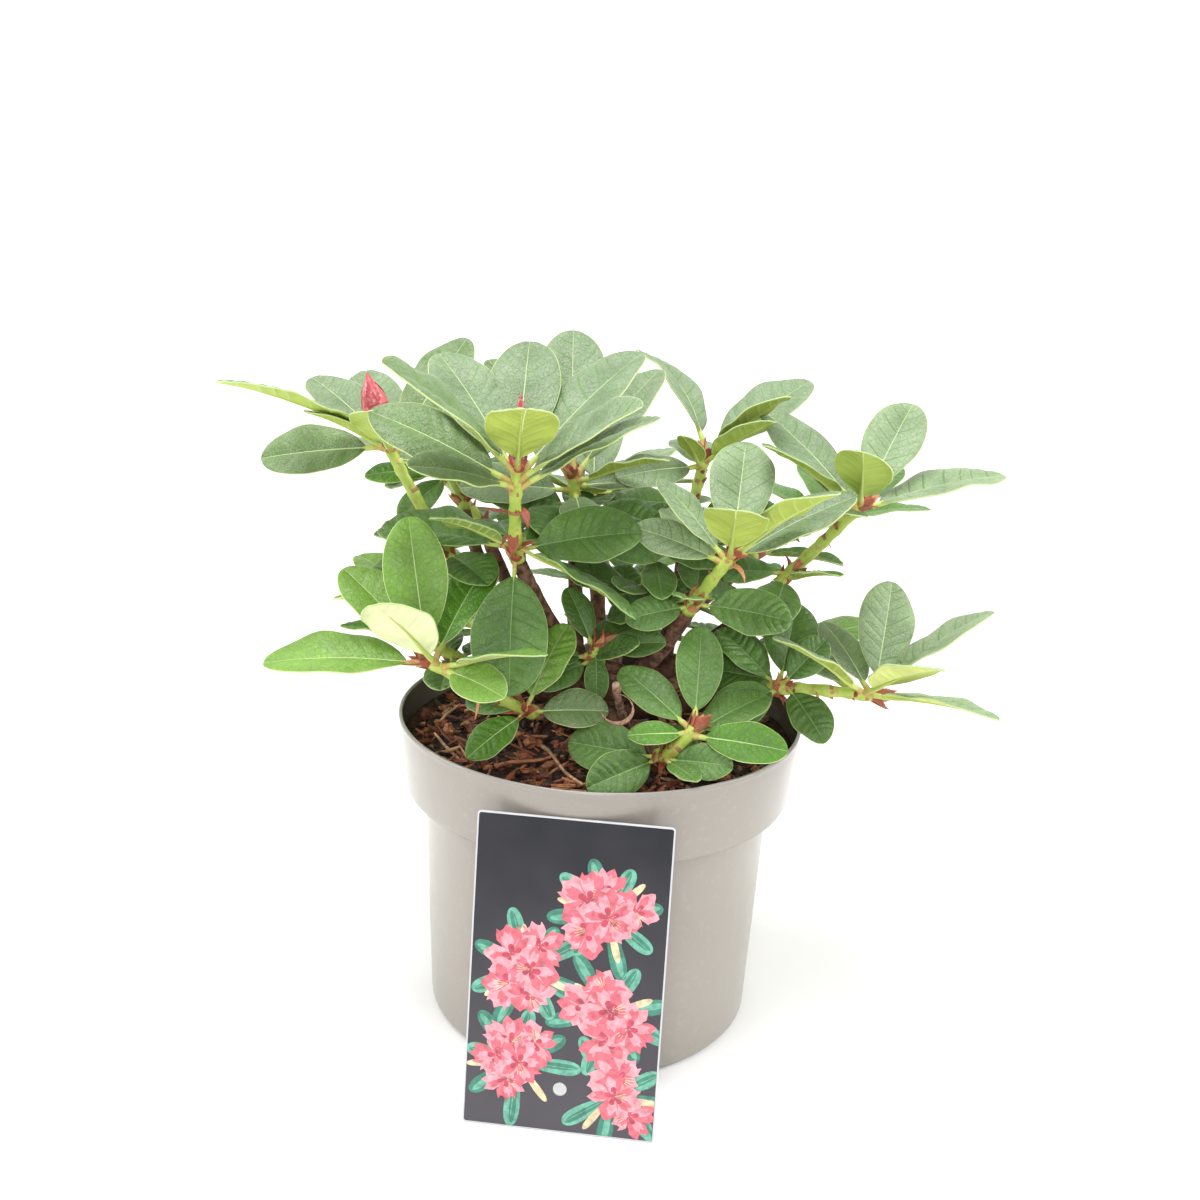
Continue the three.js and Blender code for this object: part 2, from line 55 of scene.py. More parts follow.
class Wire:
    """An output of a node, on which the operators add Math nodes."""

    def __init__(self, tree, socket=None):
        self.tree = tree
        self.socket = socket

    def node(self, kind, settings, sockets, output=0):
        """Adds a node, makes its settings first, then fills its sockets, and gives one of its outputs."""
        made = self.tree.nodes.new("ShaderNode" + kind)
        for key, value in settings.items():
            if key == "stops":
                for position, shade in value[1:-1]:
                    made.color_ramp.elements.new(position).color = (shade, shade, shade, 1)
                for end, (position, shade) in ((0, value[0]), (-1, value[-1])):
                    made.color_ramp.elements[end].position = position
                    made.color_ramp.elements[end].color = (shade, shade, shade, 1)
            else:
                setattr(made, key, value)
        for key, value in sockets.items():
            if isinstance(value, Wire):
                self.tree.links.new(value.socket, made.inputs[key])
            elif made.inputs[key].type == "RGBA":
                made.inputs[key].default_value = (*value, 1)
            else:
                made.inputs[key].default_value = value
        return Wire(self.tree, made.outputs[output] if made.outputs else None)

    def maths(self, operation, first, second):
        return self.node("Math", {"operation": operation}, {0: first, 1: second})

    def __add__(self, other):
        return self.maths("ADD", self, other)

    def __rsub__(self, other):
        return self.maths("SUBTRACT", other, self)

    def __mul__(self, other):
        return self.maths("MULTIPLY", self, other)

    __radd__ = __add__
    __rmul__ = __mul__

    def between(self, low, high):
        """The colour `low` where this is 0 and `high` where it is 1."""
        return self.node("Mix", {"data_type": "RGBA"}, {0: self, 6: low, 7: high}, 2)

    def shades(self, colour, low, high):
        """The colour, `low` times as bright where this is 0 and `high` times where it is 1."""
        return self.between([low * c for c in colour], [min(1, high * c) for c in colour])

    def steps(self, *stops):
        """This through a ramp of (position, value) stops."""
        return self.node("ValToRGB", {"stops": stops}, {0: self})

    def place(self, stretch=(1, 1, 1)):
        """The place on the piece, in metres."""
        where = self.node("TexCoord", {}, {}, 3)
        if stretch == (1, 1, 1):
            return where
        return self.node("Mapping", {}, {"Vector": where, "Scale": stretch})

    def noise(self, size, detail=2.0, stretch=(1, 1, 1)):
        """Cloudy noise from 0 to 1 whose waves are about `size` millimetres."""
        sockets = {"Vector": self.place(stretch), "Scale": 1000 / size, "Detail": detail}
        return self.node("TexNoise", {}, sockets)

    def cells(self, size, feature="F1"):
        """Distance from the nearest of points about `size` millimetres apart."""
        return self.node("TexVoronoi", {"feature": feature}, {"Vector": self.place(), "Scale": 1000 / size})

    def bump(self, height):
        """Relief of `height` millimetres."""
        return self.node("Bump", {}, {"Strength": 1.0, "Distance": MM, "Height": height})


def finish(name, paint, *tints):
    """A material whose shader has the sockets that `paint` gives for a bare wire and these tints."""
    material = bpy.data.materials.new(name)
    material.use_nodes = True
    material.node_tree.nodes.clear()
    wire = Wire(material.node_tree)
    shader = wire.node("BsdfPrincipled", {}, paint(wire, *tints))
    wire.node("OutputMaterial", {}, {"Surface": shader})
    return material


def finish_each(paint, *looks):
    """A material for every look, which is a name and its tints."""
    return [finish(name, paint, *tints) for name, *tints in looks]


def pot_plastic(wire, colour):
    specks = wire.cells(5.3).steps((0.0, 1), (0.05, 0.7), (0.085, 0))
    dust = wire.noise(3.2, 4).steps((0.55, 0), (0.8, 1))
    shade = (dust * 0.10).between(wire.noise(38, 3).shades(colour, 0.95, 1.05), DUST)
    return {
        "Base Color": (specks * 0.4).between(shade, SPECK),
        "Roughness": 0.26 + wire.noise(9, 3) * 0.14 + dust * 0.12,
        "Coat Weight": 0.3,
        "Coat Roughness": 0.12,
    }


def start_piece(add, **how):
    """A new primitive in edit mode, with nothing else selected."""
    bpy.ops.object.select_all(action="DESELECT")
    add(**how)
    bpy.ops.object.mode_set(mode="EDIT")
    return bpy.context.object


def dress(piece, name, materials):
    """Names the piece, gives it its materials and lets it ride on the plant's one body."""
    piece.name = name
    piece.data.materials.clear()
    for material in materials:
        piece.data.materials.append(material)
    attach(piece, "root")


def body_radius(z):
    """Outer radius of the pot below its collar."""
    waist = min(z / WAIST_HEIGHT, 1)
    neck = max((z - WAIST_HEIGHT) / (LEDGE - WAIST_HEIGHT), 0)
    return FOOT_RADIUS + waist * (WAIST_RADIUS - FOOT_RADIUS) + neck * (NECK_RADIUS - WAIST_RADIUS)


def collar_radius(z):
    return COLLAR_RADIUS + (z - LEDGE) / COLLAR_DROP * (RIM_RADIUS - COLLAR_RADIUS)


def corner_points(radius, height, *steps):
    """Points of the pot's section, each given as its steps outwards and upwards from one corner."""
    return [(radius + out, height + up) for out, up in steps]


# the section, as (radius, height): from the foot up the outside, over the lip, and down the inside
section = []
for step in range(7):
    angle = math.radians(15 * step)
    section.append((body_radius(TOE) - TOE + TOE * math.sin(angle), TOE - TOE * math.cos(angle)))
section += [(body_radius(z), z) for z in (12, 25, 38, 50, 62, 75, 88, 98)]
section += corner_points(NECK_RADIUS, LEDGE, (0.1, -1.2), (0.5, -0.4), (1.3, 0))
section += corner_points(COLLAR_RADIUS, LEDGE, (-0.9, 0), (-0.25, 0.3), (0.05, 1))
section += [(collar_radius(z) - 0.02, z) for z in (104, 110, 118, 126, 130.4)]
section += corner_points(RIM_RADIUS, POT_HEIGHT, (-0.45, -2.5), (-0.1, -1.8), (0, -1), (-0.2, -0.3))
section += corner_points(RIM_RADIUS, POT_HEIGHT, (-0.75, 0), (-1.4, -0.25), (-1.7, -0.9))
section += [(collar_radius(z) - WALL, z) for z in (131, 122, 112, 105)]
section += corner_points(COLLAR_RADIUS - WALL, LEDGE + WALL, (-0.6, 0.2), (-2, 0))
section += corner_points(NECK_RADIUS - WALL, LEDGE, (0.5, WALL), (0, -1))
section += [(body_radius(z) - WALL, z) for z in (80, 50, 20, 5)]
section.append((FOOT_RADIUS - TOE, BASE))

pot = start_piece(bpy.ops.mesh.primitive_circle_add, vertices=POT_SIDES, radius=section[0][0] * MM)
for here, there in zip(section, section[1:]):
    bpy.ops.mesh.extrude_region_move(TRANSFORM_OT_translate={"value": (0, 0, (there[1] - here[1]) * MM)})
    share = there[0] / here[0]
    bpy.ops.transform.resize(value=(share, share, 1), center_override=(0, 0, 0))
bpy.ops.mesh.edge_face_add()
bpy.ops.mesh.select_all(action="DESELECT")
bpy.ops.mesh.select_non_manifold()
bpy.ops.mesh.edge_face_add()
# a shallow ring is sunk into the underside
for width, rise in ((6, 0), (2, 0.8), (30, 0), (2, -0.8)):
    bpy.ops.mesh.inset(thickness=width * MM, depth=0)
    bpy.ops.transform.translate(value=(0, 0, rise * MM))
bpy.ops.mesh.select_all(action="SELECT")
bpy.ops.mesh.normals_make_consistent(inside=False)
bpy.ops.object.mode_set(mode="OBJECT")
pot_looks = ("pot plastic", TAUPE), ("soiled pot wall", SOILED_AND_SHADED), ("pot lip", LIP_SHADE_GREY)
dress(pot, "nursery_pot", finish_each(pot_plastic, *pot_looks))
# the wall is darker inside, soil stains and painted shade, and the top of the lip is greyer, painted shade
for face in pot.data.polygons:
    inward = face.normal.x * face.center.x + face.normal.y * face.center.y < 0
    under_lip = POT_HEIGHT * MM - face.center.z
    from_rim = RIM_RADIUS * MM - face.center.xy.length
    # the wall inside the pot, below the lip: soil stains and painted shade
    if inward and under_lip > 0.8 * MM:
        face.material_index = 1
    # the flat top of the lip is made greyer: painted shade
    elif under_lip < 0.8 * MM and 0.4 * MM < from_rim < 2 * MM:
        face.material_index = 2
bpy.ops.object.shade_smooth_by_angle(angle=math.radians(50))
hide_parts("pot")

# ------------------------------------------------------------------ bark compost
# Coarse bark and wood shreds fill the pot to below its lip. The heap itself is the CAD solid. Chips and
# fibres of six shapes lie on it at all angles, their ends kept clear of the pot's wall.

SOIL_LEVEL, SOIL_CROWN, SOIL_RADIUS = 122, 1.5, 80.5
CHIP_SPREAD, CHIP_LIMIT = 76.5, 78.5  # how far out the middles and the ends of the chips may lie
# every kind of chip: length, width, depth, cuts across it, how many, how far they tilt, finishes dealt out
CHIPS = (
    (12, 5.0, 2.3, 3, 60, 15, (0, 1, 1, 2, 2, 4)),
    (8, 3.6, 1.9, 1, 170, 20, (0, 0, 1, 2, 2, 3)),
    (5.5, 3.8, 2.7, 1, 170, 28, (0, 0, 1, 1, 2, 3)),
    (3.2, 2.4, 1.8, 1, 340, 40, (0, 0, 0, 1, 2, 3)),
    (13, 1.8, 1.0, 2, 330, 20, (0, 1, 2, 2, 3, 3, 5)),
    (21, 1.0, 0.8, 2, 130, 12, (1, 2, 3, 3, 5)),
)
BARKS = (
    (0.045, 0.017, 0.010), (0.19, 0.058, 0.028), (0.35, 0.105, 0.046), (0.50, 0.20, 0.088),
    (0.21, 0.115, 0.075), (0.60, 0.34, 0.19),
)


def shredded_bark(wire, colour):
    fibre = wire.noise(2.2, 4, (1, 1, 2.5))
    return {
        "Base Color": fibre.steps((0.33, 0), (0.62, 1)).shades(colour, 0.35, 1),
        "Roughness": 0.34 + fibre * 0.36,
        "Normal": wire.bump(fibre * 0.8),
    }


def compost_heap(wire):
    grains = wire.cells(3.4)
    return {
        # darker away from each grain's middle, near-black down in the crevices between grains: painted shade
        "Base Color": grains.steps((0.1, 1), (0.75, 0)).between((0.012, 0.006, 0.004), (0.10, 0.04, 0.022)),
        "Roughness": 0.9,
        "Normal": wire.bump((1 - grains) * 1.6 + wire.noise(1.5, 4) * 0.6),
    }


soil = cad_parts["soil"]
soil.data.materials.clear()
soil.data.materials.append(finish("compost heap", compost_heap))


class Heap:
    """Many small shapes that become one mesh: their points in millimetres, faces and finishes."""

    def __init__(self):
        self.points, self.faces, self.finishes, self.count = [], [], [], 0

    def add(self, points, faces, finishes=0):
        self.points.append(points)
        self.faces += [[corner + self.count for corner in face] for face in faces]
        self.finishes += [finishes] * len(faces) if isinstance(finishes, int) else finishes
        self.count += len(points)

    def piece(self, name, slot, materials, thickness=0, smooth=True, **wall_settings):
        """The mesh as a piece, given a wall of `thickness` millimetres where its shapes are sheets."""
        mesh = bpy.data.meshes.new(name)
        mesh.from_pydata((np.concatenate(self.points) * MM).tolist(), [], self.faces)
        made = bpy.data.objects.new(name, mesh)
        bpy.context.collection.objects.link(made)
        dress(made, name, materials)
        mesh.polygons.foreach_set("material_index", self.finishes)
        mesh.polygons.foreach_set("use_smooth", [smooth] * len(mesh.polygons))
        bpy.ops.object.select_all(action="DESELECT")
        bpy.context.view_layer.objects.active = made
        made.select_set(True)
        bpy.ops.object.mode_set(mode="EDIT")
        bpy.ops.mesh.select_all(action="SELECT")
        bpy.ops.mesh.remove_doubles(threshold=0.001 * MM)
        bpy.ops.object.mode_set(mode="OBJECT")
        if thickness:
            wall = made.modifiers.new("wall", "SOLIDIFY")
            wall.thickness = thickness * MM
            wall.offset = -1
            for key, value in wall_settings.items():
                setattr(wall, key, value)
            bpy.ops.object.modifier_apply(modifier=wall.name)
        return made


def shape_of(piece):
    """The points in millimetres and the faces of a modelled master, which is then thrown away."""
    points = np.array([v.co for v in piece.data.vertices]) / MM
    faces = [list(p.vertices) for p in piece.data.polygons]
    bpy.data.objects.remove(piece)
    return points, faces


def soil_height(radius):
    return SOIL_LEVEL + SOIL_CROWN * (1 - min(1, radius / SOIL_RADIUS))


chips = Heap()
luck = random.Random(41)
for kind, (length, width, depth, cuts, count, slope, tones) in enumerate(CHIPS):
    master = start_piece(bpy.ops.mesh.primitive_cube_add, size=MM, scale=(length, width, depth))
    bpy.ops.mesh.subdivide(number_cuts=cuts)
    bpy.ops.transform.vertex_random(offset=0.2 * min(width, 3.2) * MM, uniform=0, normal=0, seed=kind)
    bpy.ops.object.mode_set(mode="OBJECT")
    points, faces = shape_of(master)
    ends = np.abs(points[:, 0]) / (length / 2)
    points[:, 1] *= 1 - 0.45 * ends ** 2
    points[:, 2] *= 1 - 0.35 * ends ** 2
    for _ in range(count):
        around = luck.uniform(0, math.tau)
        out = CHIP_SPREAD * math.sqrt(luck.random())
        size = luck.uniform(0.55, 1.25)
        bend = luck.uniform(-0.035, 0.035)
        turn = Matrix.Rotation(luck.uniform(0, math.tau), 3, "Z")
        tilt = Matrix.Rotation(math.radians(luck.gauss(0, slope)), 3, "Y")
        roll = Matrix.Rotation(math.radians(luck.gauss(0, 1.5 * slope)), 3, "X")
        chip = points * size
        chip[:, 1] += bend * chip[:, 0] ** 2
        chip = chip @ np.array(turn @ tilt @ roll).T
        middle = out / max(1, (out + length * size / 2) / CHIP_LIMIT)
        height = soil_height(out) + luck.uniform(-0.8, 2.2)
        chip += (math.cos(around) * middle, math.sin(around) * middle, height)
        chips.add(chip, faces, luck.choice(tones))
barks = [finish(f"bark {k}", shredded_bark, colour) for k, colour in enumerate(BARKS)]
chips.piece("bark_chips", "bark_compost", barks, smooth=False)

# ------------------------------------------------------------------ picture card
# A stiff glossy card with rounded corners and a thin white edge stands on the floor and leans on the collar.
# Its face is dark slate with a made-up print of flower clusters, and a hang hole is punched near its foot.

CARD_WIDTH, CARD_HEIGHT, CARD_THICKNESS, CARD_CORNER = 74, 124, 0.8, 1.5
CARD_FOOT, CARD_YAW, CARD_LEAN, CARD_LIFT = (-9.3, -103.4), -6, 8.75, 0.05
CARD_BORDER, CARD_BEVEL = 0.6, 0.12
HOLE_RADIUS, HOLE_HEIGHT = 2.65, 17.5
SLATE, SLATE_REFLECTION = (0.008, 0.009, 0.013), (0.085, 0.078, 0.092)
PRINT_INKS = (
    ("petal light", (0.84, 0.33, 0.38)), ("petal", (0.72, 0.145, 0.19)), ("petal deep", (0.50, 0.06, 0.10)),
    ("printed leaf", (0.045, 0.22, 0.15)), ("printed leaf light", (0.14, 0.42, 0.30)),
    ("cream", (0.78, 0.62, 0.38)),
)
PETAL_LIGHT, PETAL, PETAL_DEEP, LEAF_INK, LEAF_LIGHT, CREAM = range(len(PRINT_INKS))
# clusters of the print: their places on the card and their turn
CLUSTERS = ((14, 88, 0.3), (-15, 64, 1.2), (17, 50, 2.0), (-17, 27, 0.7), (20, 17, 1.5))
LEAVES_ROUND, BUDS_ROUND, BLOSSOMS, PETALS, STAMENS = 8, 3, 5, 5, 4  # in each cluster and each blossom
INK_BASE, INK_LAYER, INK_THICKNESS = 0.02, 0.006, 0.004  # the prints lie over each other in layers

# the card's own plane: x to its right, y up, z out of its face
card_turn = Matrix.Rotation(math.radians(CARD_YAW), 4, "Z")
card_turn = card_turn @ Matrix.Rotation(math.radians(90 - CARD_LEAN), 4, "X")
lowest = (card_turn @ Vector((0, 0, -CARD_THICKNESS))).z
card_place = Matrix.Translation((CARD_FOOT[0], CARD_FOOT[1], CARD_LIFT - min(lowest, 0))) @ card_turn


def slate_print(wire):
    height = wire.node("SeparateXYZ", {}, {"Vector": wire.place()}, 2)
    # painted reflection: the slate is lighter towards the card's foot and in hazy patches
    reflection_fade = (height * 8).steps((0.0, 1), (0.9, 0))
    reflected_haze = wire.noise(22, 2).steps((0.3, 0), (0.7, 0.35))
    return {
        "Base Color": (reflection_fade * 0.8 + reflected_haze * 0.4).between(SLATE, SLATE_REFLECTION),
        "Roughness": 0.30 + wire.noise(11, 3) * 0.12,
        "Specular IOR Level": 0.35,
    }


def ink(wire, colour):
    blot = wire.noise(2.6, 3).steps((0.3, 0), (0.7, 1))
    return {"Base Color": blot.shades(colour, 0.6, 1.2), "Roughness": 0.32 + blot * 0.08}


def white_edge(wire):
    return {"Base Color": wire.noise(6, 2).between((0.50, 0.50, 0.52), (0.60, 0.60, 0.62)), "Roughness": 0.4}


card = start_piece(bpy.ops.mesh.primitive_plane_add, size=MM)
bpy.ops.transform.resize(value=(CARD_WIDTH, CARD_HEIGHT, 1))
bpy.ops.transform.translate(value=(0, CARD_HEIGHT / 2 * MM, -CARD_THICKNESS * MM))
bpy.ops.mesh.bevel(offset=CARD_CORNER * MM, segments=10, affect="VERTICES")
bpy.ops.mesh.extrude_region_move(TRANSFORM_OT_translate={"value": (0, 0, CARD_THICKNESS * MM)})
bpy.ops.mesh.bevel(offset=CARD_BEVEL * MM, segments=2, affect="EDGES")
bpy.ops.mesh.select_all(action="SELECT")
bpy.ops.mesh.normals_make_consistent(inside=False)
bpy.ops.mesh.select_all(action="DESELECT")
bpy.ops.object.mode_set(mode="OBJECT")
dress(card, "picture_card", [finish("card edge", white_edge), finish("slate print", slate_print)])
for corner in card.data.vertices:
    corner.select = corner.co.z > -0.001 * MM
bpy.ops.object.mode_set(mode="EDIT")
bpy.ops.mesh.inset(thickness=(CARD_BORDER - CARD_BEVEL) * MM, depth=0)
bpy.context.object.active_material_index = 1
bpy.ops.object.material_slot_assign()
bpy.ops.object.mode_set(mode="OBJECT")
bpy.ops.mesh.primitive_cylinder_add(
    vertices=40, radius=HOLE_RADIUS * MM, depth=4 * MM, location=(0, HOLE_HEIGHT * MM, 0),
)
punch = bpy.context.object
bpy.context.view_layer.objects.active = card
hole = card.modifiers.new("hole", "BOOLEAN")
hole.object = punch
bpy.ops.object.modifier_apply(modifier=hole.name)
bpy.data.objects.remove(punch)
card.data.transform(Matrix.Scale(MM, 4) @ card_place @ Matrix.Scale(1 / MM, 4))
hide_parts("label")


def petal_line(angle, length, width, frill=0, waves=1):
    """A petal from its root at the origin: narrow at the root, rounded and frilled at the end."""
    line = []
    cos, sin = math.cos(angle), math.sin(angle)
    for share in np.linspace(0, 1, 15):
        out = math.sin(math.pi * share) ** 0.55
        dx = length * (0.10 + 0.90 * out) + frill * math.sin(waves * math.pi * share)
        dy = width * math.cos(math.pi * share) * (0.30 + 0.70 * out)
        line.append((dx * cos - dy * sin, dx * sin + dy * cos))
    return line


prints = Heap()


def printed(x, y, layer, tone, shape):
    """A thin patch of ink on the card, its outline round (x, y), left out where it would cover the hole."""
    z = INK_BASE + INK_LAYER * layer
    half = CARD_WIDTH / 2 - CARD_BORDER - 0.1
    line = [(min(max(x + dx, -half), half), max(y + dy, CARD_BORDER + 0.1), z) for dx, dy in shape]
    inner = [(px * k, (py - y) * k + y) for px, py, _ in line for k in (1, 0.7, 0.4)]
    if min(math.hypot(px, py - HOLE_HEIGHT) for px, py in inner) < 3:
        return
    line.append((x, y, z))
    count = len(shape)
    faces = [[k, (k + 1) % count, count] for k in range(count)]
    prints.add(np.array([card_place @ Vector(p) for p in line]), faces, tone)


luck = random.Random(7)
blossoms = []
for x, y, turn in CLUSTERS:
    for k in range(LEAVES_ROUND):
        angle = turn + k * math.tau / LEAVES_ROUND + luck.uniform(-0.2, 0.2)
        reach = luck.uniform(20, 27)
        layer = 0.1 * k
        printed(x, y, layer, LEAF_INK + k % 2, petal_line(angle, reach, 4.6))
        printed(x, y, layer + 0.4, LEAF_LIGHT - k % 2, petal_line(angle + 0.02, reach * 0.95, 1.9))
        printed(x, y, layer + 0.6, LEAF_LIGHT, petal_line(angle, reach * 0.93, 0.25))
    for k in range(BUDS_ROUND):
        angle = turn + 0.5 + k * math.tau / BUDS_ROUND
        printed(x, y, 1.2 + 0.1 * k, CREAM, petal_line(angle, luck.uniform(17, 20), 2.1))
    for k in range(BLOSSOMS):
        angle = turn + k * math.tau / BLOSSOMS + luck.uniform(-0.3, 0.3)
        out = luck.uniform(7.5, 11) if k < BLOSSOMS - 1 else 1
        blossoms.append((x + out * math.cos(angle), y + out * math.sin(angle), luck.uniform(9, 12.5)))
for order, (x, y, size) in enumerate(blossoms):
    if math.hypot(x, y - HOLE_HEIGHT) < size + 4:
        continue
    turn = luck.uniform(0, 1.2)
    lean, side = luck.uniform(0.5, 1), luck.uniform(0, math.tau)
    for k in range(PETALS):
        angle = turn + k * math.tau / PETALS + luck.uniform(-0.2, 0.2)
        reach = size * (1 - (1 - lean) * (0.5 + 0.5 * math.cos(angle - side)))
        wide = size * luck.uniform(0.5, 0.7)
        waves = luck.choice((5, 7, 9))
        layer = 1.8 + 1.2 * order + 0.1 * k
        tone = PETAL_LIGHT + (k + order) % 2
        printed(x, y, layer, tone, petal_line(angle, reach, wide, 1.2, waves))
        inner = petal_line(angle + 0.15, reach * 0.8, wide * 0.45, 0.8, waves)
        printed(x, y, layer + 0.05, PETAL - tone, inner)
        printed(x, y, layer + 0.55, PETAL_DEEP, petal_line(angle, reach * 0.4, wide * 0.25))
    for k in range(STAMENS):
        printed(x, y, 2.9 + 1.2 * order, CREAM, petal_line(side + 0.25 * k, size * 0.5, 0.2))
prints.piece("card_print", "card", finish_each(ink, *PRINT_INKS), INK_THICKNESS, smooth=False)

# ------------------------------------------------------------------ old wood
# A short stem inside the bush forks into thin crooked boughs with rough red-brown bark. Each bough leaves
# its parent low and turns up, and one twig at the front was cut off short.

TRUNK_FOOT, TRUNK_TIP, GROUND = (-0.4, 3.5, 121), (2, 0, 140), 123.8
TRUNK_RADIUS, TRUNK_TIP_RADIUS, TRUNK_FLARE = 7, 5.5, 6
TRUNK_STEPS, TRUNK_SIDES, LIMB_SIDES = 16, 28, 14
LIMB_STEP, SHORTEST_LIMB = 2.2, 8  # how far apart a bough's rings are, and the fewest that it has
BEND_ACROSS, BEND_UP = 0.6, 0.4  # where a bough's middle point lies between its foot and its tip
CUT_TWIG_STEPS = 18

# every bough: its parent, how far along that, its tip, and its radius at foot and tip
BOUGHS = {
    "left": ("trunk", 0.9, (-64, 8, 193), 4.5, 3.0),
    "top": ("trunk", 1.0, (-35, -22, 203), 4.4, 3.0),
    "front_left": ("trunk", 0.6, (-26, -34, 144), 4.0, 2.8),
    "front_right": ("trunk", 0.95, (33, -19, 184), 4.4, 3.0),
    "right": ("trunk", 0.8, (72, 10, 189), 4.5, 3.0),
    "low_right": ("trunk", 0.56, (68, -17, 152), 4.0, 2.9),
    "front": ("trunk", 0.65, (23, -52, 136), 3.6, 2.6),
    "middle": ("top", 0.3, (-14, 18, 208), 3.6, 2.8),
    "back_right": ("right", 0.3, (35, 38, 208), 3.8, 2.8),
    "back_left": ("left", 0.3, (-54, 46, 196), 3.6, 2.8),
    "heart": ("front_right", 0.5, (16, 2, 178), 3.0, 2.6),
    "inner_left": ("left", 0.62, (-62, 30, 210), 2.9, 2.5),
    "centre": ("front_right", 0.35, (0, -12, 158), 2.8, 2.3),
    "back": ("trunk", 0.85, (-6, 58, 196), 4.0, 2.8),
    "far_right": ("back_right", 0.35, (64, 54, 188), 3.2, 2.7),
    "low_left": ("trunk", 0.6, (-58, 4, 150), 3.8, 2.7),
    "low_back_left": ("trunk", 0.52, (-48, 46, 148), 3.8, 2.7),
    "low_back": ("trunk", 0.5, (8, 60, 146), 3.8, 2.7),
    "low_back_right": ("trunk", 0.46, (60, 44, 148), 3.8, 2.7),
}
CUT_TWIG = ("front", 0.5, (5.8, -49.2, 161), 2.4, 1.5)


def unit(vector):
    return vector / np.linalg.norm(vector)


class Growth:
    """A curved line through three control points, on which places are found by their share of its length."""

    def __init__(self, foot, middle, tip):
        self.controls = [np.array(p, float) for p in (foot, middle, tip)]
        self.times = np.linspace(0, 1, 201)
        steps = np.linalg.norm(np.diff(self.at(self.times), axis=0), axis=1)
        self.shares = np.concatenate(([0], np.cumsum(steps)))
        self.length = self.shares[-1]
        self.shares /= self.length

    def at(self, time):
        time = np.asarray(time)[..., None]
        foot, middle, tip = self.controls
        return (1 - time) ** 2 * foot + 2 * time * (1 - time) * middle + time ** 2 * tip

    def point(self, share):
        return self.at(np.interp(share, self.shares, self.times))

    def heading(self, share):
        time = np.interp(share, self.shares, self.times)
        foot, middle, tip = self.controls
        return unit((1 - time) * (middle - foot) + time * (tip - middle))


def limb_line(foot, tip):
    foot, tip = np.array(foot, float), np.array(tip, float)
    return Growth(foot, foot + (tip - foot) * (BEND_ACROSS, BEND_ACROSS, BEND_UP), tip)


def tube(points, radii, sides, relief=None):
    """Points and faces of a round body along a line, closed at both ends."""
    points = np.array(points, float)
    ways = np.gradient(points, axis=0)
    ways /= np.linalg.norm(ways, axis=1)[:, None]
    side = np.cross(ways[0], (0.13, 0.99, 0.07))
    angles = np.arange(sides) * math.tau / sides
    rings = []
    for point, way, radius in zip(points, ways, radii):
        side = unit(side - way * side.dot(way))
        spread = np.cos(angles)[:, None] * side + np.sin(angles)[:, None] * np.cross(way, side)
        reach = np.full(sides, float(radius))
        if relief:
            reach += [relief(point + radius * s, radius) for s in spread]
        rings.append(point + spread * reach[:, None])
    last = (len(points) - 1) * sides
    foot, tip = last + sides, last + sides + 1
    faces = []
    for first in range(0, last, sides):
        for k in range(sides):
            here, beside = first + k, first + (k + 1) % sides
            faces.append([here, beside, beside + sides, here + sides])
    faces += [[(k + 1) % sides, k, foot] for k in range(sides)]
    faces += [[last + k, last + (k + 1) % sides, tip] for k in range(sides)]
    return np.concatenate(rings + [points[[0, -1]]]), faces


def bark_relief(point, radius):
    coarse = noise.noise(Vector(point) * 0.35)
    fine = noise.noise(Vector(point) * 1.4)
    return 0.10 * radius * coarse + 0.28 * fine


def old_bark(wire):
    flakes = wire.noise(2.6, 4)
    brown = wire.noise(17, 2).steps((0.35, 0), (0.65, 1)).between((0.14, 0.058, 0.032), (0.27, 0.14, 0.085))
    return {
        "Base Color": flakes.steps((0.36, 0), (0.6, 1)).between((0.06, 0.026, 0.016), brown),
        "Roughness": 0.86,
        "Normal": wire.bump(flakes * 0.6 + wire.noise(0.8, 2) * 0.15),
    }


def cut_wood(wire):
    flakes = wire.noise(1.6, 4)
    return {
        "Base Color": flakes.steps((0.36, 0), (0.62, 1)).between((0.08, 0.042, 0.028), (0.30, 0.175, 0.115)),
        "Roughness": 0.8,
        "Normal": wire.bump(flakes * 0.4),
    }


def pith(wire):
    return {
        "Base Color": wire.noise(1.2, 3).between((0.50, 0.36, 0.26), (0.20, 0.12, 0.08)),
        "Roughness": 0.85,
    }


wood = Heap()
growths = {"trunk": Growth(TRUNK_FOOT, (np.array(TRUNK_FOOT) + TRUNK_TIP) / 2, TRUNK_TIP)}
shares = np.linspace(0, 1, TRUNK_STEPS)
radii = np.linspace(TRUNK_RADIUS, TRUNK_TIP_RADIUS, TRUNK_STEPS) + TRUNK_FLARE * (1 - shares) ** 3
points, faces = tube(growths["trunk"].point(shares), radii, TRUNK_SIDES, bark_relief)
points[:, 2] = np.maximum(points[:, 2], GROUND)
wood.add(points, faces)
for name, (parent, share, tip, foot_radius, tip_radius) in BOUGHS.items():
    growth = growths[name] = limb_line(growths[parent].point(share), tip)
    steps = max(SHORTEST_LIMB, round(growth.length / LIMB_STEP))
    radii = np.linspace(foot_radius, tip_radius, steps)
    points, faces = tube(growth.point(np.linspace(0, 1, steps)), radii, LIMB_SIDES, bark_relief)
    points[:, 2] = np.maximum(points[:, 2], GROUND - 0.05)
    wood.add(points, faces)
boughs = wood.piece("boughs", "old_wood", [finish("old bark", old_bark)])
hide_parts("trunk", *[f"bough_{name}" for name in BOUGHS])

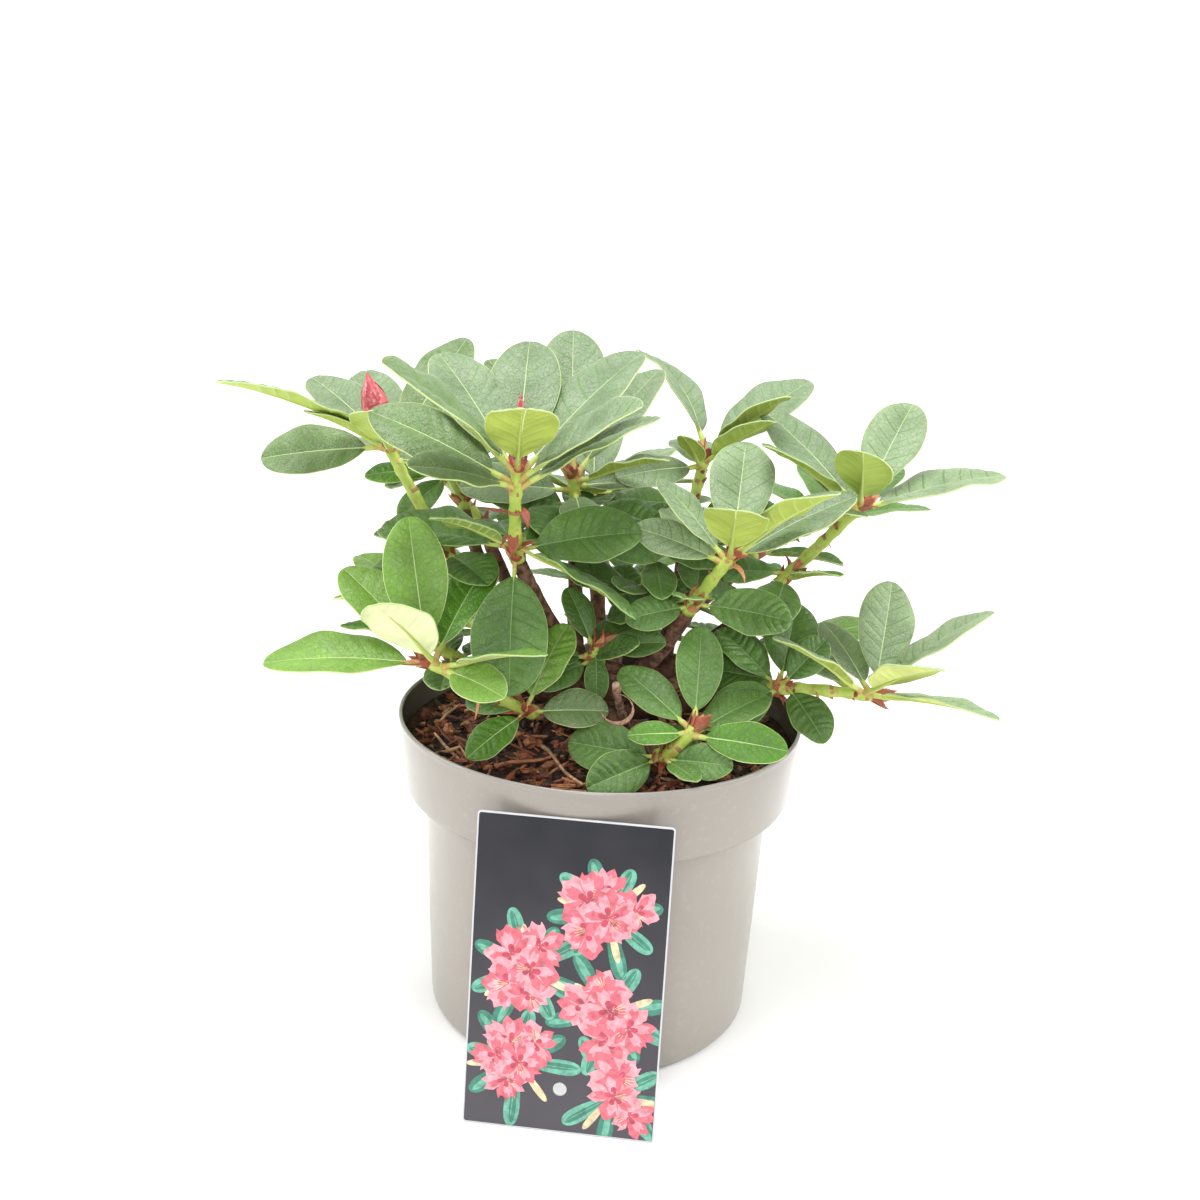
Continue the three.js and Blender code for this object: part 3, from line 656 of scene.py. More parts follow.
parent, share, tip, foot_radius, tip_radius = CUT_TWIG
line = limb_line(growths[parent].point(share), np.array(tip) + (-0.5, 0, 2.2))
radii = 0.85 * np.linspace(foot_radius, tip_radius, CUT_TWIG_STEPS)
radii[[5, 11, 12, 15, 16, 17]] += (0.25, 0.3, 0.1, 0.2, 0.4, 0.3)  # its knobs
points, faces = tube(line.point(np.linspace(0, 1, CUT_TWIG_STEPS)), radii, LIMB_SIDES, bark_relief)
stub = Heap()
stub.add(points, faces, [0] * (len(faces) - LIMB_SIDES) + [1] * LIMB_SIDES)
twig = stub.piece("cut_twig_bark", "old_wood", [finish("dry bark", cut_wood), finish("pith", pith)])
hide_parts("cut_twig")

# ------------------------------------------------------------------ litter
# Four thin dead twigs lie across the bark chips. A dry bud scale has curled up round the cut twig, held by
# nothing but its own curl.

# every dead twig: its two ends, its radius and its finish
DEAD_TWIGS = (
    ((-40, -47, 125.6), (-17, -36.5, 127.2), 0.85, 0), ((-24, -29, 127.6), (-5.5, -63, 126.6), 0.8, 1),
    ((-58, 12, 125), (-37, 24, 126.5), 0.7, 1), ((30, -40, 126), (52, -34, 125.4), 0.7, 0),
)
TWIG_STEPS, TWIG_SIDES = 16, 8
CURL_MIDDLE, CURL_WIDTH, CURL_HEIGHT = (6.2, -52, 154.3), 6.1, 5.4
CURL_START, CURL_TURN, CURL_STEPS = 190, 275, 20  # degrees round the ring, and the steps along it
CURL_ACROSS, CURL_UP, CURL_AWAY = np.array(((1, 0, 0), (0, 0.29, 0.957), (0, 0.957, -0.29)))


def dry_tan(wire):
    streak = wire.noise(1.5, 3)
    return {
        "Base Color": streak.steps((0.35, 0), (0.65, 1)).between((0.16, 0.075, 0.045), (0.50, 0.29, 0.19)),
        "Roughness": 0.55,
        "Normal": wire.bump(streak * 0.2),
    }


def shrunken_relief(point, radius):
    return 0.16 * noise.noise(Vector(point))


litter = Heap()
shares = np.linspace(0, 1, TWIG_STEPS)
for start, end, radius, tone in DEAD_TWIGS:
    line = np.array(start) + shares[:, None] * np.subtract(end, start)
    line[:, 0] += 0.9 * np.sin(5 * shares + start[0])
    line[:, 2] += 0.5 * np.sin(7 * shares)
    points, faces = tube(line, radius * np.linspace(1, 0.7, TWIG_STEPS), TWIG_SIDES, shrunken_relief)
    litter.add(points, faces, tone)
twig_looks = ("dead red twig", BARKS[3]), ("dead twig", BARKS[5])
litter.piece("fallen_twigs", "bark_compost", finish_each(shredded_bark, *twig_looks))

# the curled scale is a ribbon of four points a row, which widens and leans outwards at the ring's low side
points = []
for i in range(CURL_STEPS + 1):
    share = i / CURL_STEPS
    angle = math.radians(CURL_START + CURL_TURN * share)
    across, up = math.cos(angle) * CURL_ACROSS, math.sin(angle) * CURL_UP
    middle = CURL_MIDDLE + CURL_WIDTH * across + CURL_HEIGHT * up + 2.2 * math.sin(angle) * CURL_AWAY
    low = math.sin(math.pi * min(1, 0.1 + share)) ** 2
    slope = unit(CURL_AWAY * (1 - 0.75 * low) + (across + up) * 0.75 * low)
    points += [middle + slope * side * (0.3 + 0.6 * low) for side in (-1, -1 / 3, 1 / 3, 1)]
faces = [[4 * i + j + k for k in (0, 4, 5, 1)] for i in range(CURL_STEPS) for j in range(3)]
curled = Heap()
curled.add(np.array(points), faces)
curled.piece("dry_scale", "leaves", [finish("dry tan", dry_tan)], 0.25)

# ------------------------------------------------------------------ shoots and leaves
# Each bough ends in a green shoot of the year with a rosette of leathery leaves at its tip and an older one
# at its foot. A leaf has a stalk, a blade with sunken veins and a thin pale edge, and a paler underside.

STEM_TIP_RADIUS, STEM_GAP, STEM_LEAD, STEM_STEP, STEM_SIDES = 2.3, 0.3, 8, 1.6, 14
STEM_JOINTS, STEM_THINNING = 5, 0.9
PETIOLE = 0.17
LEAF_LEAN, LEAF_ARCH, LEAF_FOLD = 0.2, 0.07, 0.14
SEED = 5000
# where on the shoot, breadth of a blade over its length, root of the first leaf below the centre, step down
ROSETTES = {"crown": (1, 0.53, 1.5, 1.1), "foot": (0, 0.66, -3.5, -1)}
# how far a leaf may be turned and raised to pass its neighbours, tried in this order
TURNS = (
    (0, 0), (7, 0), (-7, 0), (0, 8), (0, -8), (14, 4), (-14, 4), (14, -8), (-14, -8), (0, 16), (22, 0),
    (-22, 0),
)
# every shoot: its tip, its leaves [heading, rise, length, front, bow] at crown and foot, and their tones
SHOOTS = {
    "top": ((-36, -32, 243), "frost", "dark", [
        (-85, 31, 60), (90, 41, 64), (-142, 36, 72, 0.35), (140, 37, 62, 0.3), (35, 36, 70),
        (-30, 29, 60, 0.5), (175, 18, 60, 0.8), (-150, 6, 48, 0.4), (10, 20, 58),
    ], [
        (-86, -62, 54), (0, 17, 50, 1), (164, 5, 61, 0.2), (-145, 29, 44, -0.3), (-25, -8, 54, -0.5),
        (50, 0, 46, 0.5), (100, 5, 46),
    ]),
    "left": ((-94, 12, 243), "frost", "dark", [
        (-145, 21, 74), (141, 23, 50, 0.3), (180, -12, 52, 1.3), (-150, 29, 36), (-92, 24, 44),
        (108, 26, 50, 0.3), (42, 42, 58, 0.6), (75, 20, 50), (-40, -5, 38),
    ], [(-150, -10, 38, 0.5), (-60, 0, 36, 0.5), (100, 5, 40), (40, 15, 34), (170, 15, 36)]),
    "front_left": ((-69, -45, 168), "fresh", "mid", [
        (120, 64, 56), (146, 33, 52, 0.2), (65, 30, 57), (182, -2, 62, 0.3), (-110, 40, 52, -0.6),
        (-25, 13, 54, -0.4), (-40, -3, 44, 0.8),
    ], [(-10, 8, 30, 0.8), (-148, -25, 33, 0.5), (160, 0, 32, 0.5), (60, 60, 38)]),
    "front_right": ((49, -28, 212), "silver", "dark", [
        (83, 36, 60), (-96, 31, 54), (-49, 34, 60), (155, 36, 42, 0.2), (160, 8, 42, 1), (5, 28, 52, 0.3),
        (125, 10, 46),
    ], [
        (-165, -5, 26, 1.2), (-15, 3, 42, 1), (-100, 29, 26), (80, 24, 34), (150, -5, 38, 0.5),
        (40, 5, 36, 0.5),
    ]),
    "right": ((106, 15, 225), "frost", "mid", [
        (57, 41, 56, 0.3), (-104, 33, 54), (145, 32, 60, 0.5), (-162, 27, 57), (14, 10, 64),
        (-112, 5, 38, 0.8), (110, 10, 50),
    ], [(-48, 20, 34), (-100, -12, 34, 0.8), (117, -4, 36), (175, 5, 34, 0.5)]),
    "low_right": ((112, -22, 153), "silver", "dark", [
        (78, 44, 55, 0.3), (118, 27, 44, 0.2), (20, 33, 61, -0.3), (-160, 30, 56, -0.2), (-73, 32, 52),
        (-38, 5, 52, -0.2), (135, 8, 58, 0.3),
    ], [
        (128, 34, 34, 0.5), (68, 36, 46, 0.3), (20, 38, 32, 0.8), (-150, -18, 30, 1.2), (-52, -18, 36, 1),
        (160, 10, 34, 0.8),
    ]),
    "front": ((37, -55, 150), "vivid", "dark", [
        (88, 48, 42), (150, 20, 40, 1), (-170, -8, 27, 1), (-15, -8, 36, 1.2), (35, 10, 36, 0.5),
    ], [(-145, -10, 34, 1.3), (170, 0, 36, 1), (-25, 5, 31, 1), (-60, -7, 28), (75, 0, 32, 0.5)]),
    "middle": ((-16, 20, 230), "frost", "dark", [
        (97, 52, 70, 0.2), (45, 40, 64), (-25, 15, 45, -0.2), (10, -8, 28, 0.5), (145, 42, 64),
        (-165, -5, 48, 1), (-80, -20, 40, 0.8),
    ], [
        (15, 0, 42, 0.8), (80, 5, 44), (150, -10, 40, 0.5), (-40, -8, 44, 0.9), (-110, 0, 40, 1),
        (-170, 5, 42, 1),
    ]),
    "back_right": ((41, 45, 237), "frost", "mid", [
        (137, 38, 62, -0.3, 3), (-35, 38, 48), (22, 30, 60, 0.4), (-35, 24, 42), (-155, -10, 46, 0.9),
        (-120, 25, 26), (95, -5, 54),
    ], [(-70, 0, 36, 0.8), (10, 5, 42, 0.5), (90, 0, 44), (170, 5, 40, 0.5)]),
    "centre": ((-1, -13, 167), "dark", "dark", [
        (-5, 6, 28, 1.4), (-95, -50, 25, 0.5), (140, 45, 28, 0.8), (70, 50, 24, 0.5), (-165, 5, 30, 1),
    ], [
        (25, -10, 32, 1), (-150, -10, 32, 1), (100, 0, 30), (-35, 30, 26, 0.5), (180, 15, 28, 1),
        (60, 25, 28, 0.5),
    ]),
    "heart": ((20, 6, 204), "mid", "dark", [
        (-35, 0, 38, 0.8), (-125, 5, 38, 0.8), (-85, -30, 34, 0.5), (30, 15, 40, 0.5), (90, 15, 40),
        (165, 10, 40, 0.8),
    ], [
        (-70, -15, 32, 0.8), (-160, -10, 34, 1), (160, 20, 36, 0.6), (20, -10, 36), (100, -10, 36),
        (-45, 20, 28, 1), (-115, 15, 28, 1), (-135, -40, 30, 1), (-20, -45, 28, 1),
    ]),
    "inner_left": ((-71, 35, 228), "mid", "dark", [
        (-30, -22, 30, 1.2), (178, -10, 36, 0.6), (-110, -25, 34, 1), (30, 0, 40), (100, 10, 40),
    ], []),
    "back_left": ((-80, 66, 222), "frost", "dark", [
        (70, 30, 60), (130, 15, 60), (175, 10, 56), (-120, 5, 44), (20, 15, 56), (100, 2, 50),
    ], [(90, 0, 44), (150, -5, 42), (20, 0, 40), (50, -20, 36)]),
    "back": ((-8, 88, 208), "frost", "mid", [
        (90, 30, 62), (135, 22, 60), (45, 15, 58), (0, 8, 50), (180, 12, 54), (-90, 15, 44), (110, -4, 52),
        (65, -8, 50),
    ], [(60, 0, 44), (120, 0, 44), (0, 5, 40), (180, 5, 40), (90, -25, 40)]),
    "far_right": ((104, 72, 204), "mid", "dark", [
        (50, 20, 56), (95, 16, 58), (10, 6, 46), (140, 10, 54), (70, -8, 48), (120, -10, 46),
    ], [(70, 0, 40), (0, 0, 42), (130, 0, 40)]),
    "low_left": ((-76, 6, 160), "mid", "dark", [
        (140, 15, 48), (95, 20, 52), (180, 5, 36), (50, 15, 46),
    ], [(120, 0, 38), (60, 0, 36), (-100, 0, 34)]),
    "low_back_left": ((-80, 64, 154), "fresh", "dark", [
        (140, 15, 56), (95, 15, 58), (-175, 5, 46), (50, 10, 50), (-130, 5, 40), (115, -12, 46),
    ], [(120, -5, 40), (60, 0, 40), (175, 0, 38)]),
    "low_back": ((8, 98, 160), "mid", "dark", [
        (90, 25, 60), (45, 15, 56), (135, 15, 56), (0, 5, 50), (180, 5, 50), (70, -12, 46), (112, -12, 46),
    ], [(50, 0, 40), (130, 0, 40), (0, -5, 38), (180, -5, 38), (90, 30, 42)]),
    "low_back_right": ((88, 58, 144), "fresh", "dark", [
        (35, 6, 54), (85, 10, 58), (-10, 5, 46), (130, 5, 50), (60, -10, 46),
    ], [(100, -5, 40), (0, 0, 40), (150, 0, 36)]),
}

# every tone: colour of the upper side, how frosted it is with hairs, colour of the underside, vein finish
TONES = {
    "dark": ((0.084, 0.180, 0.030), 0.14, (0.27, 0.36, 0.09), 0),
    "mid": ((0.096, 0.208, 0.036), 0.22, (0.36, 0.46, 0.10), 0),
    "vivid": ((0.086, 0.230, 0.014), 0.06, (0.42, 0.52, 0.12), 0),
    "fresh": ((0.160, 0.310, 0.038), 0.14, (0.46, 0.56, 0.13), 1),
    "dusky": ((0.115, 0.196, 0.056), 0.6, (0.42, 0.53, 0.10), 2),
    "silver": ((0.205, 0.300, 0.140), 0.64, (0.60, 0.66, 0.20), 2),
    "frost": ((0.155, 0.235, 0.108), 0.64, (0.40, 0.49, 0.09), 2),
    "pale": ((0.19, 0.36, 0.07), 0.1, (0.70, 0.74, 0.42), 3),
}
OLD_TONES = ("dark", "mid")  # their midribs and edges are duller
# the tones that the leaves of a rosette are dealt, and some leaves that keep one of their own
DEALT = {
    "dark": ("dark", "dark", "mid"), "mid": ("mid", "dark", "vivid"), "vivid": ("vivid", "mid", "vivid"),
    "fresh": ("fresh", "fresh", "vivid"), "silver": ("silver", "frost"), "frost": ("frost", "frost", "dusky"),
}
OWN_TONES = {
    ("top", "crown"): {1: "frost", 2: "dusky", 6: "dusky", 7: "dusky"}, ("top", "foot"): {0: "mid"},
    ("left", "crown"): {0: "dusky", 2: "dusky"}, ("right", "crown"): {0: "silver", 4: "silver"},
    ("front_left", "crown"): {0: "fresh", 2: "vivid", 4: "pale", 5: "pale"},
    ("front_left", "foot"): {0: "dusky", 1: "vivid", 3: "fresh"},
    ("front_right", "crown"): {0: "silver"}, ("low_right", "crown"): {0: "silver"},
    ("front", "crown"): {0: "mid", 1: "mid", 2: "vivid", 3: "vivid", 4: "mid"},
    ("front", "foot"): {0: "dark"},
}
# narrow parts of a blade, old and young: finish, its darkest and its lightest colour, and its roughness
UPPER_LINES = (
    ("vein old", (0.05, 0.12, 0.02), (0.08, 0.17, 0.032), 0.42),
    ("vein fresh", (0.11, 0.24, 0.04), (0.16, 0.30, 0.06), 0.42),
    ("vein frosted", (0.085, 0.17, 0.045), (0.14, 0.24, 0.08), 0.5),
    ("vein pale", (0.11, 0.24, 0.04), (0.16, 0.30, 0.06), 0.42),
    ("midrib old", (0.17, 0.30, 0.10), (0.26, 0.40, 0.15), 0.5),
    ("midrib young", (0.40, 0.54, 0.22), (0.54, 0.64, 0.34), 0.5),
    ("edge old", (0.26, 0.37, 0.11), (0.36, 0.47, 0.17), 0.5),
    ("edge young", (0.42, 0.53, 0.19), (0.55, 0.65, 0.29), 0.5),
)
UNDER_LINES = (
    *[(f"vein underside {k}", (0.42, 0.52, 0.12), (0.50, 0.60, 0.17), 0.5) for k in range(3)],
    ("vein underside pale", (0.64, 0.69, 0.35), (0.70, 0.75, 0.42), 0.5),
    ("midrib underside old", (0.40, 0.48, 0.16), (0.50, 0.58, 0.24), 0.5),
    ("midrib underside young", (0.56, 0.64, 0.24), (0.68, 0.76, 0.36), 0.5),
)
# where the veins, midribs, edges and undersides start among a leaf's finishes
VEIN, RIB, EDGE = len(TONES), len(TONES) + 4, len(TONES) + 6
UNDER = len(TONES) + len(UPPER_LINES)
LEAF_THICKNESS, EDGE_WIDTH, RIB_WIDTH = 0.55, 0.26, 0.2
VEINS, VEIN_HALF = 8, 0.05
# the rows along a blade, five to every vein, and the places across it: edge, inner edge, three, midrib
VEIN_ROWS = [(k + step) / VEINS for k in range(VEINS) for step in (VEIN_HALF, 0.27, 0.5, 0.73, 1 - VEIN_HALF)]
ROWS = np.array([0, 0.0025, *VEIN_ROWS, 1])
ACROSS = (1, "inner", 0.78, 0.55, 0.3, "rib", 0, "rib", 0.3, 0.55, 0.78, "inner", 1)
SIDES = np.array([-1] * 6 + [0] + [1] * 6)


def leaf_upper(wire, colour, frost):
    cloud = wire.noise(16, 2).steps((0.3, 0), (0.7, 1))
    # the fine net of sunken veinlets is painted darker and the pillows between them lighter: painted shade
    # and painted highlight over the net's small bump
    shaded_net = wire.cells(2.3, "DISTANCE_TO_EDGE").steps((0, 0), (0.18, 1))
    flesh = shaded_net.between(cloud.shades(colour, 0.66, 0.96), cloud.shades(colour, 0.82, 1.16))
    hairs = wire.noise(0.55, 1).steps((0.42, 0), (0.6, 1))
    patch = wire.noise(9, 4).steps((0.32, 0.2), (0.68, 1))
    grey = [hair + 0.6 * c for hair, c in zip((0.24, 0.245, 0.215), colour)]
    return {
        "Base Color": (hairs * patch * frost).between(flesh, grey),
        "Roughness": 0.36 + hairs * (0.08 + 0.3 * frost),
        "Normal": wire.bump(shaded_net * 0.1 + wire.noise(2.4, 3) * (0.5 - 0.5 * frost) + hairs * 0.04),
        "Specular IOR Level": 0.42,
    }


def leaf_under(wire, colour):
    return {
        "Base Color": wire.noise(12, 2).steps((0.3, 0), (0.7, 1)).shades(colour, 0.88, 1.08),
        "Roughness": 0.55,
        "Normal": wire.bump(wire.cells(1.6) * 0.06),
        "Specular IOR Level": 0.3,
    }


def plain_green(wire, low, high, roughness=0.5):
    return {"Base Color": wire.noise(4, 3).between(low, high), "Roughness": roughness}


# upper sides first, then the undersides in the same order; the rolled edge is the same on both
leaf_finishes = [finish(f"leaf {tone}", leaf_upper, *look[:2]) for tone, look in TONES.items()]
leaf_finishes += finish_each(plain_green, *UPPER_LINES)
leaf_finishes += [finish(f"leaf {tone} underside", leaf_under, look[2]) for tone, look in TONES.items()]
leaf_finishes += finish_each(plain_green, *UNDER_LINES)
leaf_finishes += leaf_finishes[EDGE:EDGE + 2]


def half_breadth(along, length, breadth):
    """Half the blade's breadth at shares of its way from the stalk to the tip."""
    blade = length * (1 - PETIOLE)
    wave = np.sin(np.pi * np.clip(along, 0, 1) ** 1.12).clip(0) ** 0.5
    root = 0.75 * np.clip(1 - along * 12, 0, 1)
    return np.maximum(root, blade * breadth / 2 * wave)


def blade_mesh(leaf, tone, luck):
    """Points, faces and finishes of one blade as a sheet, with its upper side up."""
    length, breadth = leaf["length"], leaf["breadth"]
    rows = ROWS + 0.03 * np.sin(math.tau * (2 * ROWS + luck.random())) * np.sin(np.pi * ROWS)
    slants = (luck.uniform(0.55, 0.95), luck.uniform(0.55, 0.95))
    columns = []
    for k, place in enumerate(ACROSS):
        share = {"inner": 0.97, "rib": 0.02}.get(place, place)
        along = rows + slants[k > len(ACROSS) // 2] * rows * (1 - rows) * share ** 1.2
        wide = half_breadth(along, length, breadth)
        if place == "inner":
            out = np.maximum(wide - EDGE_WIDTH, 0.85 * wide)
        elif place == "rib":
            out = np.minimum(RIB_WIDTH * (1.3 - ROWS), 0.25 * wide)
        else:
            out = share * wide
        columns.append((along, wide, out))
    along, wide, out = (np.array(kind).T for kind in zip(*columns))
    share = PETIOLE + along * (1 - PETIOLE)
    part = out / np.maximum(wide, 1e-6)
    across = out * SIDES

    # the flesh swells between the veins, the edge rolls down, and the whole blade waves, twists and folds
    phase = ROWS[:, None] * VEINS
    from_vein = np.abs(phase - np.round(phase))
    pillow = ((from_vein - VEIN_HALF) / (0.5 - VEIN_HALF)).clip(0, 1) ** 0.6
    pillow = pillow * np.clip(part * 4, 0, 1) * (1 - part ** 5)
    scale = length * breadth / 30
    quilt = scale * pillow * (luck.uniform(0.3, 0.5) if breadth < 0.6 else luck.uniform(0.65, 0.95))
    crown = 0.06 * wide * np.sin(np.pi * part)
    edge = -0.35 * np.clip((part - 0.8) / 0.2, 0, 1) ** 2
    groove = -0.3 * np.exp(-(out / 0.9) ** 2) * (1 - ROWS[:, None])
    wave = 0.05 * wide * part ** 2 * np.sin(math.tau * (luck.uniform(1.6, 2.6) * share + luck.random()))
    wave += 0.03 * wide * part ** 2 * SIDES * np.sin(math.tau * (3.1 * share + luck.random()))
    twist = luck.uniform(-0.09, 0.09) * share * across
    lift = 4 * share * (1 - share) * leaf["arch"] * length + leaf["fold"] * out * part ** 0.4
    lift = lift + quilt + crown + edge + groove + wave + twist
    across = across + luck.uniform(-0.03, 0.03) * length * share ** 2
    points = (
        leaf["root"] + share[..., None] * length * leaf["along"]
        + across[..., None] * leaf["across"] + lift[..., None] * leaf["upper"]
    )

    # strips of faces from edge to edge: flesh between the veins, and a narrow one on each vein
    flesh = list(TONES).index(tone)
    young = int(tone not in OLD_TONES)
    strips = []
    for inner in (flesh, VEIN + TONES[tone][3]):
        half_strip = [EDGE + young, flesh, inner, inner, inner, RIB + young]
        strips.append(half_strip + half_strip[::-1])
    faces, finishes = [], []
    count = len(ACROSS)
    for row, gap in enumerate(np.diff(ROWS)):
        on_vein = int(gap < 2.5 * VEIN_HALF / VEINS)
        for here in range(row * count, (row + 1) * count - 1):
            faces.append([here, here + count, here + 1 + count, here + 1])
        finishes += strips[on_vein]
    return points.reshape(-1, 3), faces, finishes


def draws(seed):
    """The same draws as the solid leaves have: numbers from -1 to 1."""
    while True:
        seed = seed * 16807 % 2147483647
        yield 2 * seed / 2147483647 - 1


def direction(heading, rise):
    """The way at these angles in degrees: round from +X towards +Y, and up."""
    around, up = math.radians(heading), math.radians(rise)
    return np.array((math.cos(around) * math.cos(up), math.sin(around) * math.cos(up), math.sin(up)))


def aim_leaf(centre, axis, down, row, turn, seed):
    """A leaf rooted `down` below its rosette's centre, whose tip is aimed from that centre."""
    heading, rise, length, front, bow = *row, *(0, 1)[len(row) - 3:]
    tip = centre + direction(heading + turn[0], rise + turn[1]) * length
    root = centre - axis * down
    along = unit(tip - root)
    facing = np.array((0, -front, 1)) + axis * LEAF_LEAN
    upper = unit(facing - along * facing.dot(along))
    draw = draws(seed)
    return {
        "tip": tip, "root": root, "length": np.linalg.norm(tip - root),
        "along": along, "upper": upper, "across": np.cross(upper, along),
        "arch": LEAF_ARCH * bow * (1 + 0.4 * next(draw)), "fold": LEAF_FOLD * (1 + 0.6 * next(draw)),
    }


def shoot_line(name):
    """The line of a shoot, which starts just clear of its bough's tip and in line with it."""
    bough = growths[name]
    start = bough.point(1) + bough.heading(1) * STEM_GAP
    return Growth(start, start + bough.heading(1) * STEM_LEAD, SHOOTS[name][0])


def stem_relief(point, radius):
    return 0.3 * noise.noise(Vector(point) * 0.4) + 0.12 * noise.noise(Vector(point) * 1.1)


def stem_green(wire):
    mottle = wire.noise(5, 3).steps((0.4, 0), (0.68, 1))
    streak = wire.noise(1.1, 2)
    green = (mottle * 0.6 + streak * 0.25).between((0.32, 0.44, 0.05), (0.52, 0.60, 0.14))
    rust = wire.noise(3.4, 3).steps((0.58, 0), (0.68, 1))
    return {
        "Base Color": (rust * 0.7).between(green, (0.40, 0.22, 0.06)),
        "Roughness": 0.5,
        "Normal": wire.bump(streak * 0.12),
    }


def scale_brown(wire, colour):
    streak = wire.noise(1.3, 3)
    return {
        "Base Color": streak.shades(colour, 0.5, 1.25),
        "Roughness": 0.6,
        "Normal": wire.bump(streak * 0.15),
    }


STEM_GREEN, STEM_SCAR, STALK_GREEN, STALK_FOOT = range(4)
stem_finishes = [finish("stem green", stem_green), finish("stem scar", scale_brown, (0.36, 0.19, 0.07))]
stem_finishes += finish_each(
    plain_green, ("leaf stalk", (0.38, 0.48, 0.08), (0.52, 0.60, 0.17)),
    ("leaf stalk foot", (0.46, 0.27, 0.09), (0.50, 0.46, 0.12)),
)
# a leaf stalk: shares of the leaf's length, and there the radius and how far it lies below the blade
STALK = np.array((0, 0.05, 0.11, 0.17, 0.24, 0.36, 0.5, 0.65, 0.8, 0.92))
STALK_RADII = np.array((1.6, 1.45, 1.25, 1.1, 0.85, 0.66, 0.52, 0.4, 0.28, 0.12))
STALK_DROP = np.array((0, 0.05, 0.25, 0.8, 1.13, 0.89, 0.70, 0.53, 0.35, 0.15))
STALK_SIDES = 8
STALK_THINNING = {"crown": 1, "foot": 0.75}
stems = Heap()
shoots = {}  # every shoot's line, the places of its joints, and its own run of luck
for order, (name, (tip, *tone_names, crown, foot)) in enumerate(SHOOTS.items()):
    shoot = shoot_line(name)
    luck = random.Random(100 + order)
    steps = max(10, round(shoot.length / STEM_STEP))
    shares = np.linspace(0, 1, steps)
    radii = np.linspace(BOUGHS[name][4], STEM_TIP_RADIUS, steps)
    radii += 0.5 * np.exp(-(shares * shoot.length / 3) ** 2)
    radii *= STEM_THINNING
    radii[-1] *= 0.6
    joints = [luck.uniform(k + 0.15, k + 0.85) / STEM_JOINTS for k in range(STEM_JOINTS)]
    for joint in joints:
        radii += 0.42 * np.exp(-((shares - joint) * shoot.length / 1.7) ** 2)
    points, faces = tube(shoot.point(shares), radii, STEM_SIDES, stem_relief)
    marks = [STEM_GREEN] * len(faces)
    for joint in joints:
        row, side = min(steps - 2, round(joint * (steps - 1))), luck.randrange(STEM_SIDES)
        for k in range(luck.randint(1, 4)):
            marks[row * STEM_SIDES + (side + k) % STEM_SIDES] = STEM_SCAR
    stems.add(points, faces, marks)
    shoots[name] = shoot, joints, luck

    # a leaf stands where the solid leaf's tip is found, so it has the same place and turn
    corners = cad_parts[f"foliage_{name}"].data.vertices
    tips = kdtree.KDTree(len(corners))
    for k, corner in enumerate(corners):
        tips.insert(corner.co, k)
    tips.balance()
    leaves = Heap()
    for part, rows, tone_name in zip(ROSETTES, (crown, foot), tone_names):
        share, breadth, first, step = ROSETTES[part]
        centre, axis = shoot.point(share), shoot.heading(share)
        for i, row in enumerate(rows):
            seed = SEED + 100 * order + 50 * share + i
            for turn in TURNS:
                leaf = aim_leaf(centre, axis, first + step * i, row, turn, seed)
                if tips.find(Vector(leaf["tip"] * MM))[2] < 0.05 * MM:
                    break
            else:
                continue  # a leaf that found no room isn't in the solid either
            leaf["breadth"] = breadth
            dealt = luck.choice(DEALT[tone_name])
            tone = OWN_TONES.get((name, part), {}).get(i, dealt)
            leaves.add(*blade_mesh(leaf, tone, luck))
            rise = 4 * STALK * (1 - STALK) * leaf["arch"] * leaf["length"] - STALK_DROP
            line = leaf["root"] + np.outer(STALK * leaf["length"], leaf["along"])
            line = line + np.outer(rise, leaf["upper"])
            points, faces = tube(line, STALK_RADII * STALK_THINNING[part], STALK_SIDES)
            foot_faces = 2 * STALK_SIDES
            marks = [STALK_FOOT] * foot_faces + [STALK_GREEN] * (len(faces) - foot_faces)
            stems.add(points, faces, marks)
    made = leaves.piece(
        f"leaves_{name}", "leaves", leaf_finishes, LEAF_THICKNESS, material_offset=UNDER, use_rim=True,
    )
    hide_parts(f"foliage_{name}")
stems.piece("stems_and_stalks", "leaves", stem_finishes)

# ------------------------------------------------------------------ bud scales
# Papery red-brown scales are what is left of the winter buds. They stand in a tuft at each shoot's tip and
# foot, cling to its joints, and a few longer ones stick out from the shoots at the front.

SCALE_THICKNESS = 0.25
CROWN_SCALES, SHOOT_SCALES, FOOT_SCALES = 9, 13, 7  # the foot's scales are the first of the shoot's
SCALE_RED, SCALE_BROWN, SCALE_TAN = range(3)
SCALE_COLOURS = (
    ("scale red", (0.38, 0.095, 0.05)), ("scale brown", (0.30, 0.11, 0.05)),
    ("scale tan", (0.62, 0.28, 0.12)),
)
FLOWER_BUDS = {"left": (6.6, 28), "top": (4, 29)}  # radius and length of the bud on a shoot that has one
# longer dry scales: shoot, place on it, heading, rise, length, width, curl and finish
BRACTS = (
    ("top", 0.52, 180, 4, 12, 2.6, 0.2, 0), ("top", 0.56, -20, -40, 8.5, 5.4, -0.9, 0),
    ("top", 0.3, -95, -60, 9, 4.4, 0.3, 0), ("top", 0.14, -40, 42, 8.5, 4.6, -0.5, 0),
    ("top", 0.3, -150, -30, 7, 3, -0.8, 1), ("front_right", 0.8, -25, 12, 11, 4.4, -1.9, 2),
    ("low_right", 0.43, -80, -75, 8, 3.4, 0.5, 2), ("front_left", 0.5, -100, -82, 12, 2.6, 0.3, 2),
    ("left", 0.3, -30, 25, 10, 2.4, 0.5, 1), ("right", 0.15, -60, 20, 8, 3, 0.8, 1),
    ("right", 0.3, -120, -10, 7, 3, -0.9, 0), ("low_right", 0.1, -100, 30, 7, 4, -0.8, 0),
    ("low_right", 0.2, -60, 40, 6, 3.6, -1.2, 1), ("front_left", 0.08, -80, 35, 8, 4.2, -0.8, 0),
)


